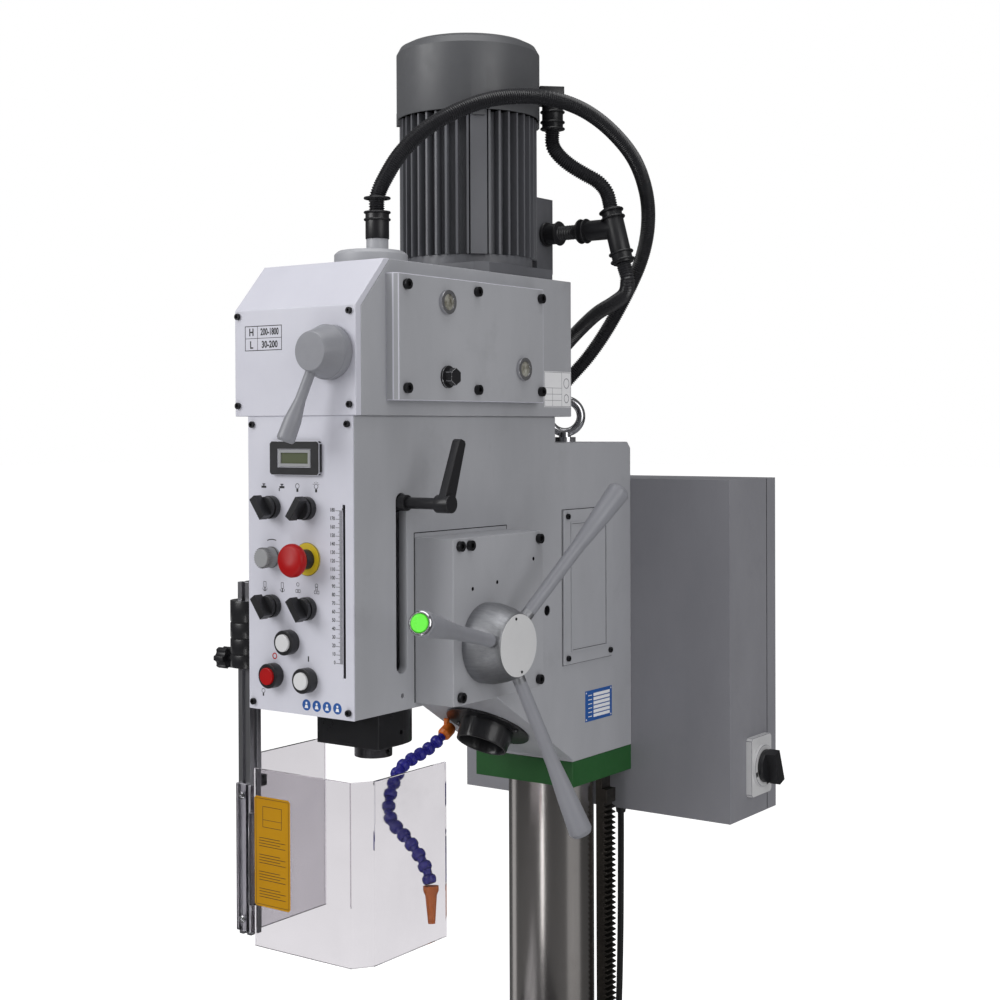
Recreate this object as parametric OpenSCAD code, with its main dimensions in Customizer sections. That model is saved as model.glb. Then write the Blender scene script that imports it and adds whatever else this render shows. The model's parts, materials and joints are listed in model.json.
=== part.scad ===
// Geared-head column drill press with a swinging table, a power feed head and an electrical cabinet.
// Millimetres. The floor is z = 0, the column's axis is x = 0, y = 0, and the operator stands at -y.
// Heights on the head are counted from the zero mark of its depth scale.

/* [Column, base and rack] */
// Diameter of the column
column_d = 125; // [116:1:130]
// Height of the depth scale's zero mark above the floor
scale_zero_z = 1330; // [1280:5:1420]
// Width of the base plate
base_w = 460; // [420:10:560]
// Length of the base plate
base_l = 700; // [660:10:780]
// Base plate's overhang behind the column's axis
base_rear = 140; // [130:1:148]
// Thickness of the base plate
base_h = 65; // [60:1:80]
// Depth of the hollow under the base plate
base_hollow = 30; // [15:1:32]
// Radius of the column's foot flange
foot_r = 122; // [116:1:130]
// Thickness of the foot flange
foot_flange_h = 28; // [22:1:34]
// Radius of the foot's boss round the column
foot_boss_r = 84; // [82:1:90]
// Height of the foot's boss above the base plate
foot_boss_h = 80; // [70:1:100]
// Width of the rack
rack_w = 24; // [20:1:26]
// Thickness of the rack over its teeth
rack_t = 19; // [18:0.5:20]
// Offset of the rack's middle behind the column's axis
rack_y = 42; // [40:0.5:44]
// Module of the racks and the low gear pair
coarse_module = 2.5; // [2.5:0.1:2.6]

/* [Table] */
// Height of the table's top at rest
table_z = 700; // [690:5:740]
// Side of the square table
table_side = 460; // [400:10:470]
// Thickness of the table
table_t = 45; // [40:1:50]
// Radius of the table's pivot
pivot_r = 40; // [34:1:44]
// Wall of the table arm's ring round the column
ring_wall = 34; // [32:1:38]
// Height of the table arm's ring
ring_h = 150; // [140:1:160]
// Width of the table arm
arm_w = 92; // [80:1:110]
// Width of the T-slots
slot_w = 14; // [12:1:16]
// Length of the lifting crank's arm
crank_l = 105; // [90:1:110]

/* [Head casting] */
// Width of the head
head_w = 169; // [166:1:176]
// Distance between the column's axis and the spindle's axis
throat = 405; // [400:1:412]
// Distance from the spindle's axis to the front panel's face
nose_gap = 135; // [133:1:140]
// Head's overhang behind the column's axis
head_rear = 88; // [84:1:92]
// Head's underside at the front, below the scale's zero
head_floor = 66; // [62:1:68]
// Top of the head under the gearbox
head_top = 292; // [290:1:296]
// Top of the head behind the gearbox
rear_top = 256; // [250:1:262]
// Height of the green collar under the head
collar_h = 36.6; // [32:0.2:42]
// Top of the green collar, below the scale's zero
collar_top = 193; // [190:1:197]
// Wall of the head casting
head_wall = 12; // [10:0.5:13]

/* [Gearbox] */
// Width of the gearbox
gearbox_w = 195; // [192:1:200]
// Height of the gearbox
gearbox_h = 187.5; // [186:0.5:190]
// Depth of the gearbox behind the front panel's face
gearbox_l = 460; // [456:1:464]
// Wall of the gearbox
gearbox_wall = 10; // [8:0.5:10]
// Thickness of the gearbox's side cover
side_cover_t = 16; // [12:1:18]
// Module of the motor's gear pair
fine_module = 2; // [2:0.02:2.04]
// Teeth of the motor pinion
motor_teeth = 40; // [40:1:41]
// Teeth of the counter shaft's input gear
input_teeth = 72; // [71:1:72]
// Teeth of the sliding low gear
low_small = 19; // [19:1:20]
// Teeth of the spindle's low gear
low_large = 57; // [56:1:57]
// Teeth of the sliding high gear
high_large = 52; // [51:1:52]
// Teeth of the spindle's high gear
high_small = 24; // [24:1:25]
// Backlash cut from each gear's teeth
backlash = 0.22; // [0.15:0.01:0.35]
// Stroke of the sliding gears
shift_stroke = 32; // [30:0.5:32]
// Length of the shift fork's arm
fork_l = 30; // [29:0.5:31]

/* [Quill and feed] */
// Diameter of the quill
quill_d = 75; // [74:0.5:77]
// Length of the quill
quill_l = 370; // [360:1:375]
// Diameter of the spindle's nose
nose_d = 48; // [44:0.5:50]
// Diameter of the spindle's splined tail
tail_d = 26; // [24:0.5:27]
// Stroke of the quill, as the scale shows
quill_stroke = 180; // [160:5:180]
// Teeth of the feed pinion and the lifting pinion
pinion_teeth = 14; // [14:1:15]
// Thickness of the feed box
feed_box_t = 59; // [56:1:62]
// Radius of the feed hub
feed_hub_r = 50; // [46:1:54]
// Length of a feed arm from the hub's axis to its end
feed_arm_l = 260; // [240:2:270]
// Lean of the feed arms away from the head
feed_lean = 14; // [12:0.5:16]
// Diameter of a feed arm's grip
grip_d = 30; // [26:1:34]

/* [Motor] */
// Radius over the motor's cooling fins
fin_r = 93; // [90:1:95]
// Radius of the fan cowl
cowl_r = 97.5; // [96:0.5:102]
// Height of the finned body
fins_h = 189; // [180:1:196]
// Height of the fan cowl
cowl_h = 102; // [96:1:110]
// Number of cooling fins
fin_count = 40; // [32:4:48]

/* [Cabinet] */
// Width of the electrical cabinet
cabinet_w = 468; // [440:2:480]
// Height of the electrical cabinet
cabinet_h = 492; // [470:2:510]
// Depth of the cabinet with its door
cabinet_l = 147; // [140:1:160]
// Sheet thickness of the cabinet
sheet = 2; // [1.5:0.1:3]
// Depth of the cabinet's door
door_l = 30; // [24:1:36]

/* [Guard and hose] */
// Side of the guard's square rail
rail_w = 20; // [18:0.5:22]
// Length of the guard's rail
rail_l = 443; // [430:1:455]
// Height of the clear shield
shield_h = 222; // [210:1:223]
// Thickness of the clear sheets
shield_t = 4; // [3:0.5:5]
// Width of the shield's front sheet
shield_w = 162; // [150:1:170]
// Depth of the shield's right side
shield_d = 141; // [125:1:150]
// Depth of the left side sheet behind the rail
side_sheet_d = 125; // [110:1:135]
// Diameter of a hose ball
hose_d = 18.5; // [17:0.5:20]

/* [Panel] */
// Thickness of the front panel
panel_t = 2; // [1.5:0.1:3]
// Diameter of the push buttons' bezels
bezel_d = 30; // [28:0.5:32]
// Travel of the push buttons
button_travel = 3; // [2:0.5:4]

/* [Cables] */
// Outer diameter of the corrugated conduits
conduit_d = 20.5; // [18:0.5:21]
// Diameter of the mains cable
cable_d = 10; // [9.5:0.1:10.2]

/* [Hidden] */
$fn = 48;

// Running clearance of a shaft in its bearing, and of pieces that must stay free
run = 0.05;
free = 0.3;
column_r = column_d / 2;
z0 = scale_zero_z;

// Head, in its own heights
head_x = head_w / 2;
head_front = -(throat + nose_gap);
spindle_y = -throat;
step_y = head_front + 427;
slope_start = head_front + 268;
slope_end = -(column_r + 9.5);
slope_low = collar_top - 4;
slope_rise = (slope_low - head_floor) / (slope_end - slope_start);
slope_angle = atan(slope_rise);
collar_bottom = -(collar_top + collar_h);
quill_r = quill_d / 2;
nose_r = nose_d / 2;
tail_r = tail_d / 2;
quill_bottom = -120;
quill_top = quill_bottom + quill_l;
quill_boss_r = quill_r + head_wall;
column_grip = 200;

// Gear train
low_centre = coarse_module * (low_small + low_large) / 2;
high_centre = coarse_module * (high_small + high_large) / 2;
input_centre = fine_module * (motor_teeth + input_teeth) / 2;
counter_y = spindle_y + max(low_centre, high_centre);
motor_y = counter_y + input_centre;
low_z = 326;
gear_t = 12;
high_z = low_z + 88;
input_z = high_z + 22;
sleeve_r = 19;
shaft_r = 12;
sleeve_seat_r = 31;
shaft_seat_r = 22;
motor_seat_r = 24;
gearbox_x0 = -gearbox_w / 2 - 6.5;
gearbox_x1 = gearbox_x0 + gearbox_w;
gearbox_y0 = head_front - 2;
gearbox_y1 = gearbox_y0 + gearbox_l;
gearbox_top = head_top + gearbox_h;
plate_t = 10;
gearbox_floor = 6;
selector_x = 54.4;
selector_z = 366.5;
selector_tilt = 15.5;
selector_lean = 13.5;
fork_angle = asin(shift_stroke / 2 / fork_l);
shoe_r = 4.5;

// Feed
pinion_r = coarse_module * pinion_teeth / 2;
quill_rack_r = 28.5;
feed_y = spindle_y + quill_rack_r + pinion_r;
feed_z = 11;
feed_box_x = head_x + feed_box_t;
feed_shaft_r = 15;
feed_journal_r = 11;
feed_neck_x = 22;
arm_root_x = feed_box_x + 28.5;
feed_angles = [47.5, 167.5, 287.5];

// Rack on the column
rack_x = column_r - 4;
rack_tip = rack_x + rack_t;
rack_pitch_x = rack_tip - coarse_module;
rack_bottom = base_h + foot_boss_h + free;
rack_front = rack_y - rack_w / 2;
rack_rear = rack_y + rack_w / 2;
neck_t = 10;
tongue = [2.5, 3.5];
tongue_room = norm([rack_x, rack_front] + tongue) + 0.4;
rack_top = z0 + collar_bottom - 22;
lift_x = rack_pitch_x + pinion_r + 0.1;

// Table
arm_ring_r = column_r + ring_wall;
hub_h = 15;
pivot_top = table_z - table_t - hub_h;
pivot_end = pivot_top - 85;
ring_top = pivot_top - 35;
lift_z = ring_top - 85;
bevel_teeth = 16;
bevel_r = coarse_module * bevel_teeth / 2;
bevel_face = 8;
lift_y = rack_front - 9 - bevel_r;
lift_box_x = lift_x + 58;
lift_box_y = [lift_y - 34, rack_rear + 33];
crank_x = lift_box_x + 24;

// Motor
motor_z = gearbox_top;
flange_h = 13.5;
bell_h = 12.5;
fins_z = motor_z + flange_h + bell_h;
cowl_z = fins_z + fins_h;
motor_top = cowl_z + cowl_h;

// Cabinet
cabinet_x0 = -220;
cabinet_x1 = cabinet_x0 + cabinet_w;
cabinet_y0 = head_rear;
cabinet_y1 = cabinet_y0 + cabinet_l;
cabinet_z0 = -290.6;
cabinet_z1 = cabinet_z0 + cabinet_h;
door_y = cabinet_y1 - door_l;
switch_at = [170, -218];
door_hinge = [cabinet_x0 - 5, door_y];
door_hinge_z = [cabinet_z0 + 60, cabinet_z1 - 120];

// Guard
rail_at = [-(head_x + 34), head_front + 35];
rail_z0 = -358;
rail_sleeve_r = 23.5;
rail_sleeve_z = [-22, 62];
shield_z = -145.5 - shield_h;
shield_cut = [18, 25];
shield_hinge = [rail_at[0] + rail_w / 2 + 5, rail_at[1] - rail_w / 2 - shield_t / 2];
knuckle_r = 4.5;
hinge_pin_r = 2;

// Panel: places are [x, z] on the panel's face
knob_at = [[-44.5, 181.8], [13, 181.8], [-44.5, 62], [13, 62]];
speed_at = [-45, 121];
stop_at = [13, 121];
start_at = [13, -23.4];
off_at = [-42, -22];
return_at = [-16, 20];
scale_slot_x = 69.7;
stop_slot_y = head_front + 89;
stop_slot = [-21, 198];
stop_z = 186.5;

// Routes of the conduits and the cable, points chosen along their real course
conduit_a = [[8, -402, 546], [8, -402, 568], [13, -393, 592], [23, -372, 627], [40, -342, 660],
  [62, -310, 684], [86, -273, 702], [109, -233, 711], [131, -190, 712], [151, -143, 702],
  [165, -95, 680], [173, -48, 647], [170, -11, 607], [159, 14, 566], [140, 31, 524],
  [114, 39, 480], [80, 38, 426], [49, 32, 383], [22, 20, 350], [0, 8, 322], [-14, -2, 300],
  [-14, -2, 279]];
conduit_b = [[83, -115, 688], [83, -115, 666], [93, -112, 650], [108, -106, 636],
  [125, -98, 624], [141, -90, 613], [152, -85, 597.5], [158, -85, 575]];
conduit_c = [[74, -85, 548], [110, -85, 548]];
conduit_d_route = [[178, -85, 500], [184, -85, 477.5], [174, -74, 460], [147, -60, 449],
  [108, -42, 437], [68, -26, 416], [28, -14, 388], [-12, -6, 356], [-42, 2, 326],
  [-52, 6, 302], [-52, 6, 279]];
tee = [[158, -85, 575], [178, -85, 500], [166, -85, 548]];
cable_exit = [22, 160];
cable_route = [[22, 160, 1014], [22, 160, 985], [21, 161, 920], [19, 163, 840], [16, 165, 760],
  [13, 166, 690], [11, 167, 610], [10, 168, 520], [10, 169, 430], [10, 170, 340],
  [10, 171, 250], [10, 173, 170], [10, 178, 110], [10, 188, 60], [10, 205, 27],
  [10, 226, 10], [10, 245, 5.4], [10, 262, 5.2], [10, 290, 5.2]];
coil_r = 55;
coil_turns = 5;
coil_pitch = 11;
coil_step = 11;

// A box between two corners
module block(a, b) {
  translate(a)
    cube(b - a);
}

// Round bars along the three axes
module bar_z(x, y, z_low, z_high, r) {
  translate([x, y, z_low])
    cylinder(r = r, h = z_high - z_low);
}

module bar_x(x_low, x_high, y, z, r) {
  translate([x_low, y, z])
    rotate([0, 90, 0])
      cylinder(r = r, h = x_high - x_low);
}

module bar_y(x, y_low, y_high, z, r) {
  translate([x, y_high, z])
    rotate([90, 0, 0])
      cylinder(r = r, h = y_high - y_low);
}

module cone_y(x, y_low, y_high, z, r_low, r_high) {
  translate([x, y_high, z])
    rotate([90, 0, 0])
      cylinder(r1 = r_high, r2 = r_low, h = y_high - y_low);
}

// A flat ring about the z axis
module ring(z_low, z_high, inner, outer) {
  difference() {
    bar_z(0, 0, z_low, z_high, outer);
    bar_z(0, 0, z_low - 1, z_high + 1, inner);
  }
}

// Lifts a piece of the head to its real height
module head() {
  translate([0, 0, z0])
    children();
}

// A rectangle with its corners cut off, for plates
function cut_corners(w, l, c) = [[w / 2 - c, -l / 2], [w / 2, -l / 2 + c], [w / 2, l / 2 - c],
  [w / 2 - c, l / 2], [-w / 2 + c, l / 2], [-w / 2, l / 2 - c], [-w / 2, -l / 2 + c],
  [-w / 2 + c, -l / 2]];

module plate(w, l, h, c) {
  linear_extrude(h)
    polygon(cut_corners(w, l, c));
}

// A profile drawn in y and z, pulled along x
module across(x_low, x_high) {
  translate([x_low, 0, 0])
    rotate([90, 0, 90])
      linear_extrude(x_high - x_low)
        children();
}

// Involute gears with a 20 degree pressure angle
function involute(a) = (tan(a) - a * PI / 180) * 180 / PI;
function flank(m, z, r, lash) = let (rp = m * z / 2, rb = rp * cos(20))
  90 / z - lash / rp * 90 / PI + involute(20) - (r > rb ? involute(acos(rb / r)) : 0);
function gear_radii(m, z) = let (rp = m * z / 2, root = rp - 1.25 * m, rb = rp * cos(20))
  [root, max(rb, root + 0.2 * m), rp, rp + m];
function gear_outline(m, z, lash, turn) = let (radii = gear_radii(m, z)) [
  for (i = [0:z - 1]) for (j = [0:7])
    let (r = radii[j < 4 ? j : 7 - j],
      a = turn + i * 360 / z + (j < 4 ? -1 : 1) * flank(m, z, r, lash))
    r * [cos(a), sin(a)]];

module gear(m, z, h, bore_r, turn) {
  linear_extrude(h)
    difference() {
      polygon(gear_outline(m, z, backlash, turn));
      if (bore_r > 0)
        circle(r = bore_r);
    }
}

// Rack outline: teeth point to +x from the line x = 0, the pitch line; one gap is centred at v = 0
function rack_outline(m, low, high, back) = let (p = m * PI, first = ceil((low + p) / p),
  last = floor((high - p) / p), top = m * tan(20), half = p / 4 - backlash / 2)
  concat([[-back, low], [-1.25 * m, low]],
    [for (i = [first:last]) let (c = (i + 0.5) * p) each [
      [-1.25 * m, c - half - 1.25 * top], [m, c - half + top],
      [m, c + half - top], [-1.25 * m, c + half + 1.25 * top]]],
    [[-1.25 * m, high], [-back, high]]);

// Splined shaft and the bore that runs on it
module spline(r, h, extra) {
  cylinder(r = r + extra, h = h);
  for (a = [0:90:270])
    rotate(a)
      translate([-3 - extra, 0, 0])
        cube([6 + 2 * extra, r + 2.5 + extra, h]);
}

// Socket screw with its head's underside at z = 0, pointing down
module screw(d, l) {
  difference() {
    union() {
      cylinder(d = d * 1.6, h = d * 0.7);
      translate([0, 0, -l])
        cylinder(d = d, h = l);
    }
    translate([0, 0, d * 0.3])
      cylinder(d = d * 0.9, h = d, $fn = 6);
  }
}

module screw_hole(d, l) {
  translate([0, 0, -l - 0.5])
    cylinder(d = d + 2 * run, h = l + 1);
}

// Puts a piece at a place on the panel's face, its own +z pointing at the operator
module on_panel(at) {
  head()
    translate([at[0], head_front, at[1]])
      rotate([90, 0, 0])
        children();
}

// Smooth course through chosen points, cut into equal steps
function spline_point(p, i, t) = let (n = len(p) - 1, a = p[max(i - 1, 0)], b = p[i],
  c = p[min(i + 1, n)], d = p[min(i + 2, n)])
  0.5 * (2 * b + (c - a) * t + (2 * a - 5 * b + 4 * c - d) * t * t
    + (3 * b - a - 3 * c + d) * t * t * t);
function fine_course(p) = concat([for (i = [0:len(p) - 2]) for (t = [0:0.125:0.99])
  spline_point(p, i, t)], [p[len(p) - 1]]);
function runs(p, i = 0, sum = 0, out = []) = i == len(p) - 1 ? concat(out, [sum])
  : runs(p, i + 1, sum + norm(p[i + 1] - p[i]), concat(out, [sum]));
function steps(p, n) = let (s = runs(p), total = s[len(s) - 1],
  x = [for (i = [0:len(p) - 1]) [s[i], p[i][0]]], y = [for (i = [0:len(p) - 1]) [s[i], p[i][1]]],
  z = [for (i = [0:len(p) - 1]) [s[i], p[i][2]]])
  [for (i = [0:n]) let (at = total * i / n) [lookup(at, x), lookup(at, y), lookup(at, z)]];
function course_length(p) = let (s = runs(p)) s[len(s) - 1];

// Rings of points round a course; side is a direction that the course never follows
function unit(v) = v / norm(v);
function around(p, radii, sides, side) = [for (i = [0:len(p) - 1])
  let (t = unit(p[min(i + 1, len(p) - 1)] - p[max(i - 1, 0)]), u = unit(cross(side, t)),
    w = cross(t, u))
  for (k = [0:sides - 1]) p[i] + radii[i] * (cos(360 * k / sides) * u + sin(360 * k / sides) * w)];
function walls(rings, sides, start, turn) = [for (i = [0:rings - 2]) for (k = [0:sides - 1])
  let (a = start + i * sides + k, b = start + i * sides + (k + 1) % sides)
  each turn ? [[a, b + sides, b], [a, a + sides, b + sides]]
    : [[a, b, b + sides], [a, b + sides, a + sides]]];
function cap(sides, start, turn) = [for (k = [1:sides - 2])
  turn ? [start, start + k + 1, start + k] : [start, start + k, start + k + 1]];

// A solid tube along a course
module tube(p, r, sides, side) {
  n = len(p);
  polyhedron(around(p, [for (i = [0:n - 1]) r], sides, side),
    concat(walls(n, sides, 0, true), cap(sides, 0, false), cap(sides, (n - 1) * sides, true)));
}

// A corrugated tube: crests and valleys in turn, with a smooth bore, its ends straight and plain
module corrugated(route, ribs, d, side) {
  fine = fine_course(route);
  p = steps(fine, 2 * ribs);
  n = len(p);
  sides = 8;
  outer = around(p, [for (i = [0:n - 1]) i % 2 == 1 ? d / 2 : d / 2 - 1.8], sides, side);
  q = steps(fine, floor(ribs / 3));
  m = len(q);
  inner = around(q, [for (i = [0:m - 1]) d / 2 - 4], sides, side);
  base = n * sides;
  last = (n - 1) * sides;
  inner_last = base + (m - 1) * sides;
  ends = [for (k = [0:sides - 1]) let (j = (k + 1) % sides)
    each [[k, base + j, j], [k, base + k, base + j],
      [last + k, last + j, inner_last + j], [last + k, inner_last + j, inner_last + k]]];
  polyhedron(concat(outer, inner),
    concat(walls(n, sides, 0, false), walls(m, sides, base, true), ends));
}

// Base plate: hollow below in front of the column, T-slots on top
module t_slot(x, y_low, y_high, top) {
  block([x - slot_w / 2, y_low, top - 22], [x + slot_w / 2, y_high, top + 1]);
  block([x - slot_w * 0.85, y_low, top - 22], [x + slot_w * 0.85, y_high, top - 12]);
}

module base_plate() {
  front = base_rear - base_l;
  color("dimgray")
    difference() {
      translate([0, base_rear - base_l / 2, 0])
        plate(base_w, base_l, base_h, 25);
      block([-base_w / 2 + 30, front + 30, -1],
        [base_w / 2 - 30, -foot_r - 20, base_hollow]);
      for (x = [-base_w / 5, base_w / 5])
        t_slot(x, front - 1, -foot_r - 45, base_h);
      for (x = [-base_w / 2 + 15, base_w / 2 - 15])
        for (y = [front + 45, base_rear - 45])
          bar_z(x, y, -1, base_h + 1, 8);
      foot_bolts(true);
    }
}

// Foot flange and its four bolts
module foot_bolts(holes) {
  for (a = [45:90:315])
    rotate(a)
      translate([(foot_r + foot_boss_r) / 2, 0, base_h + foot_flange_h]) {
        if (holes)
          screw_hole(16, foot_flange_h + 30);
        else
          screw(16, foot_flange_h + 30);
      }
}

module column_foot() {
  top = base_h + foot_boss_h;
  color("dimgray")
    difference() {
      union() {
        bar_z(0, 0, base_h, base_h + foot_flange_h, foot_r);
        bar_z(0, 0, base_h, top, foot_boss_r);
      }
      bar_z(0, 0, base_h - 1, top + 1, column_r + run);
      bar_z(0, 0, top - 12, top + 1, tongue_room);
      foot_bolts(true);
    }
}

module column() {
  color("silver")
    difference() {
      bar_z(0, 0, base_h, z0 - collar_top + column_grip, column_r);
      bar_z(0, 0, base_h - 1, z0 - collar_top + column_grip + 1, column_r - 12);
    }
}

// Rack: teeth towards +x, a neck up to the collar, and a lip at each end that runs in the foot
// and in the collar
module column_rack() {
  zero = lift_z;
  neck_top = z0 + collar_bottom - free;
  color("gray") {
    translate([rack_pitch_x, rack_rear, zero])
      rotate([90, 0, 0])
        linear_extrude(rack_w)
          polygon(rack_outline(coarse_module, rack_bottom - zero, rack_top - 19 - zero,
            rack_pitch_x - rack_x));
    block([rack_x, rack_front, rack_top - 20], [rack_tip, rack_rear, rack_top]);
    block([rack_x, rack_front, rack_top - 1], [rack_x + neck_t, rack_rear, neck_top]);
    for (z = [[base_h + foot_boss_h - 11, rack_bottom + 1], [neck_top - 1, neck_top + 14]])
      block([rack_x, rack_front, z[0]], [rack_x + tongue[0], rack_front + tongue[1], z[1]]);
  }
}

// Table arm: split ring, housing of the lifting drive, tapering arm and pivot boss
module table_arm() {
  bottom = ring_top - ring_h;
  hx = lift_box_x;
  color("dimgray")
    difference() {
      union() {
        bar_z(0, 0, bottom, ring_top, arm_ring_r);
        block([0, rack_front - 16, bottom], [rack_tip + 14, rack_rear + 14, ring_top]);
        block([-arm_ring_r - 38, -24, ring_top - 95], [-column_r - 12, 24, ring_top - 45]);
        block([0, lift_box_y[0], lift_z - 45], [hx, lift_box_y[1], lift_z + 45]);
        translate([-arm_w / 2, 0, 0])
          rotate([90, 0, 90])
            linear_extrude(arm_w)
              polygon([[-column_r - 4, ring_top], [spindle_y + 10, pivot_top],
                [spindle_y + 10, pivot_top - 62], [-column_r - 4, bottom + 12]]);
        bar_z(0, spindle_y, pivot_top - 70, pivot_top, pivot_r + 34);
        bar_x(hx - 1, hx + 14, lift_y, lift_z, 20);
      }
      bar_z(0, 0, bottom - 1, ring_top + 1, column_r + run);
      block([rack_x / 2, rack_front - 0.4, bottom - 1],
        [rack_tip + 0.5, rack_rear + 0.4, ring_top + 1]);
      bar_z(0, spindle_y, pivot_end - 1, pivot_top + 1, pivot_r + run);
      block([-arm_ring_r - 40, -1.5, bottom - 1], [-column_r + 4, 1.5, ring_top + 1]);
      bar_y(-arm_ring_r - 18, -30, 30, ring_top - 70, 6 + run);
      // Room for the pinion and the bevel gears
      bar_y(lift_x, rack_front - 2, rack_rear + 2, lift_z, pinion_r + coarse_module + 1);
      bar_y(lift_x, lift_y - 3, lift_y + bevel_r + 1.5, lift_z, bevel_r + 6);
      bar_x(lift_x, lift_x + bevel_r + 2, lift_y, lift_z, bevel_r + 6);
      bar_y(lift_x, lift_y + 4, lift_box_y[1] + 1, lift_z, 8 + run);
      bar_x(lift_x + 8, hx + 20, lift_y, lift_z, 9 + run);
    }
}

module arm_clamp_lever() {
  x = -arm_ring_r - 18;
  z = ring_top - 70;
  color("black") {
    bar_y(x, -39, 23, z, 6);
    bar_y(x, -40, -24, z, 12);
    translate([x, -33, z])
      rotate([0, -110, 0])
        cylinder(r1 = 6, r2 = 5, h = 95);
    translate([x, -33, z])
      rotate([0, -110, 0])
        translate([0, 0, 100])
          sphere(r = 12);
  }
}

// Lifting drive: pinion shaft along y and crank shaft along x, joined by a bevel pair
module bevel(turn) {
  linear_extrude(bevel_face, scale = 1 - bevel_face / bevel_r)
    polygon(gear_outline(coarse_module, bevel_teeth, 0.5, turn));
}

module lift_pinion() {
  color("silver") {
    translate([lift_x, rack_rear, lift_z])
      rotate([90, 0, 0])
        gear(coarse_module, pinion_teeth, rack_w, 7, 180);
    bar_y(lift_x, lift_y + 7, lift_box_y[1] - 2, lift_z, 8);
    translate([lift_x, lift_y + bevel_r, lift_z])
      rotate([90, 0, 0])
        bevel(0);
  }
}

module lift_crank() {
  color("dimgray") {
    translate([lift_x + bevel_r, lift_y, lift_z])
      rotate([0, -90, 0])
        bevel(90 + 180 / bevel_teeth);
    bar_x(lift_x + 10, crank_x, lift_y, lift_z, 9);
    difference() {
      across(crank_x - 8, crank_x + 6)
        translate([lift_y, lift_z])
          polygon([[-16, 10], [0, 18], [16, 10], [11, -crank_l], [0, -crank_l - 11],
            [-11, -crank_l]]);
      bar_x(crank_x - 9, crank_x + 7, lift_y, lift_z, 8.9);
    }
  }
  color("black")
    translate([crank_x + 6, lift_y, lift_z - crank_l])
      rotate([0, 90, 0])
        rotate_extrude()
          polygon([[0, 0], [7, 0], [9, 8], [13, 34], [13, 62], [9, 78], [0, 80]]);
}

// Square table with a coolant groove, T-slots and its pivot
module work_table() {
  half = table_side / 2;
  groove = half - 22;
  top = table_z;
  color("gray")
    difference() {
      union() {
        translate([0, spindle_y, top - table_t])
          plate(table_side, table_side, table_t, 18);
        bar_z(0, spindle_y, pivot_top, top - table_t + 1, pivot_r + 34);
        bar_z(0, spindle_y, pivot_end, pivot_top + 1, pivot_r);
      }
      translate([0, spindle_y, top - 5])
        linear_extrude(6)
          difference() {
            polygon(cut_corners(2 * groove, 2 * groove, 12));
            polygon(cut_corners(2 * groove - 20, 2 * groove - 20, 8));
          }
      for (x = [-table_side / 4, table_side / 4])
        t_slot(x, spindle_y - half - 1, spindle_y + half + 1, top);
      bar_z(0, spindle_y, pivot_end - 1, top + 1, 15);
    }
}

// Head casting: a thick-walled shell with bosses for the quill and the column
function head_side() = [[head_front + panel_t, -head_floor], [slope_start, -head_floor],
  [slope_end, -slope_low], [slope_end, -collar_top], [head_rear, -collar_top],
  [head_rear, rear_top - 9], [head_rear - 9, rear_top], [step_y, rear_top], [step_y, head_top],
  [head_front + panel_t, head_top]];

module head_casting() {
  inner = head_x - head_wall;
  slot_r = 10;
  color("darkgray")
    head()
      difference() {
        across(-head_x, head_x)
          polygon(head_side());
        // Hollow front and middle, with the bosses left standing
        difference() {
          union() {
            block([-inner, head_front - 1, -head_floor + head_wall],
              [inner, head_front + 60, head_top - 2 * head_wall]);
            across(-inner, inner)
              polygon([[head_front + 50, -head_floor + head_wall],
                [slope_start, -head_floor + head_wall],
                [-column_r - 26, -slope_low + head_wall + 24],
                [-column_r - 26, rear_top - head_wall],
                [step_y - head_wall, rear_top - head_wall],
                [step_y - head_wall, head_top - 2 * head_wall],
                [head_front + 50, head_top - 2 * head_wall]]);
          }
          bar_z(0, spindle_y, -head_floor - 1, head_top, quill_boss_r);
          bar_z(0, 0, -collar_top - 1, rear_top, column_r + 24);
        }
        bar_z(0, spindle_y, -head_floor - 1, head_top - 12, quill_r + run);
        bar_z(0, spindle_y, head_top - 13, head_top + 1, sleeve_seat_r);
        bar_z(0, counter_y, head_top - 12, head_top + 1, shaft_seat_r);
        bar_z(0, 0, -collar_top - 1, -collar_top + column_grip + 2, column_r + run);
        bar_z(0, 0, -collar_top + column_grip + 14, rear_top - head_wall, column_r - 4);
        panel_screws(true);
        // Bore of the feed shaft and room for its pinion
        bar_x(0, head_x + 1, feed_y, feed_z, feed_shaft_r + run);
        bar_x(-17, 17, feed_y, feed_z, pinion_r + coarse_module + 1.5);
        bar_x(-37, 0, feed_y, feed_z, feed_journal_r + run);
        // Slot of the depth stop, with round ends
        for (z = [stop_slot[0] + slot_r, stop_slot[1] - slot_r])
          bar_x(head_x - head_wall - 1, head_x + 1, stop_slot_y, z, slot_r);
        block([head_x - head_wall - 1, stop_slot_y - slot_r, stop_slot[0] + slot_r],
          [head_x + 1, stop_slot_y + slot_r, stop_slot[1] - slot_r]);
        bar_x(head_x - 8, head_x + 1, stop_slot_y + 1, -48, 3);
        bar_x(head_x - 8, head_x + 1, -134, 26, 7);
        // Cable way into the cabinet
        bar_y(0, head_rear - 30, head_rear + 1, 120, 20);
      }
}

module column_collar() {
  color("darkgreen")
    head()
      difference() {
        block([-head_x + 0.5, slope_end, collar_bottom],
          [head_x - 0.5, head_rear, -collar_top]);
        bar_z(0, 0, collar_bottom - 1, -collar_top + 1, column_r + run);
        bar_z(0, 0, collar_bottom - 1, collar_bottom + 16, tongue_room);
      }
}

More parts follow.
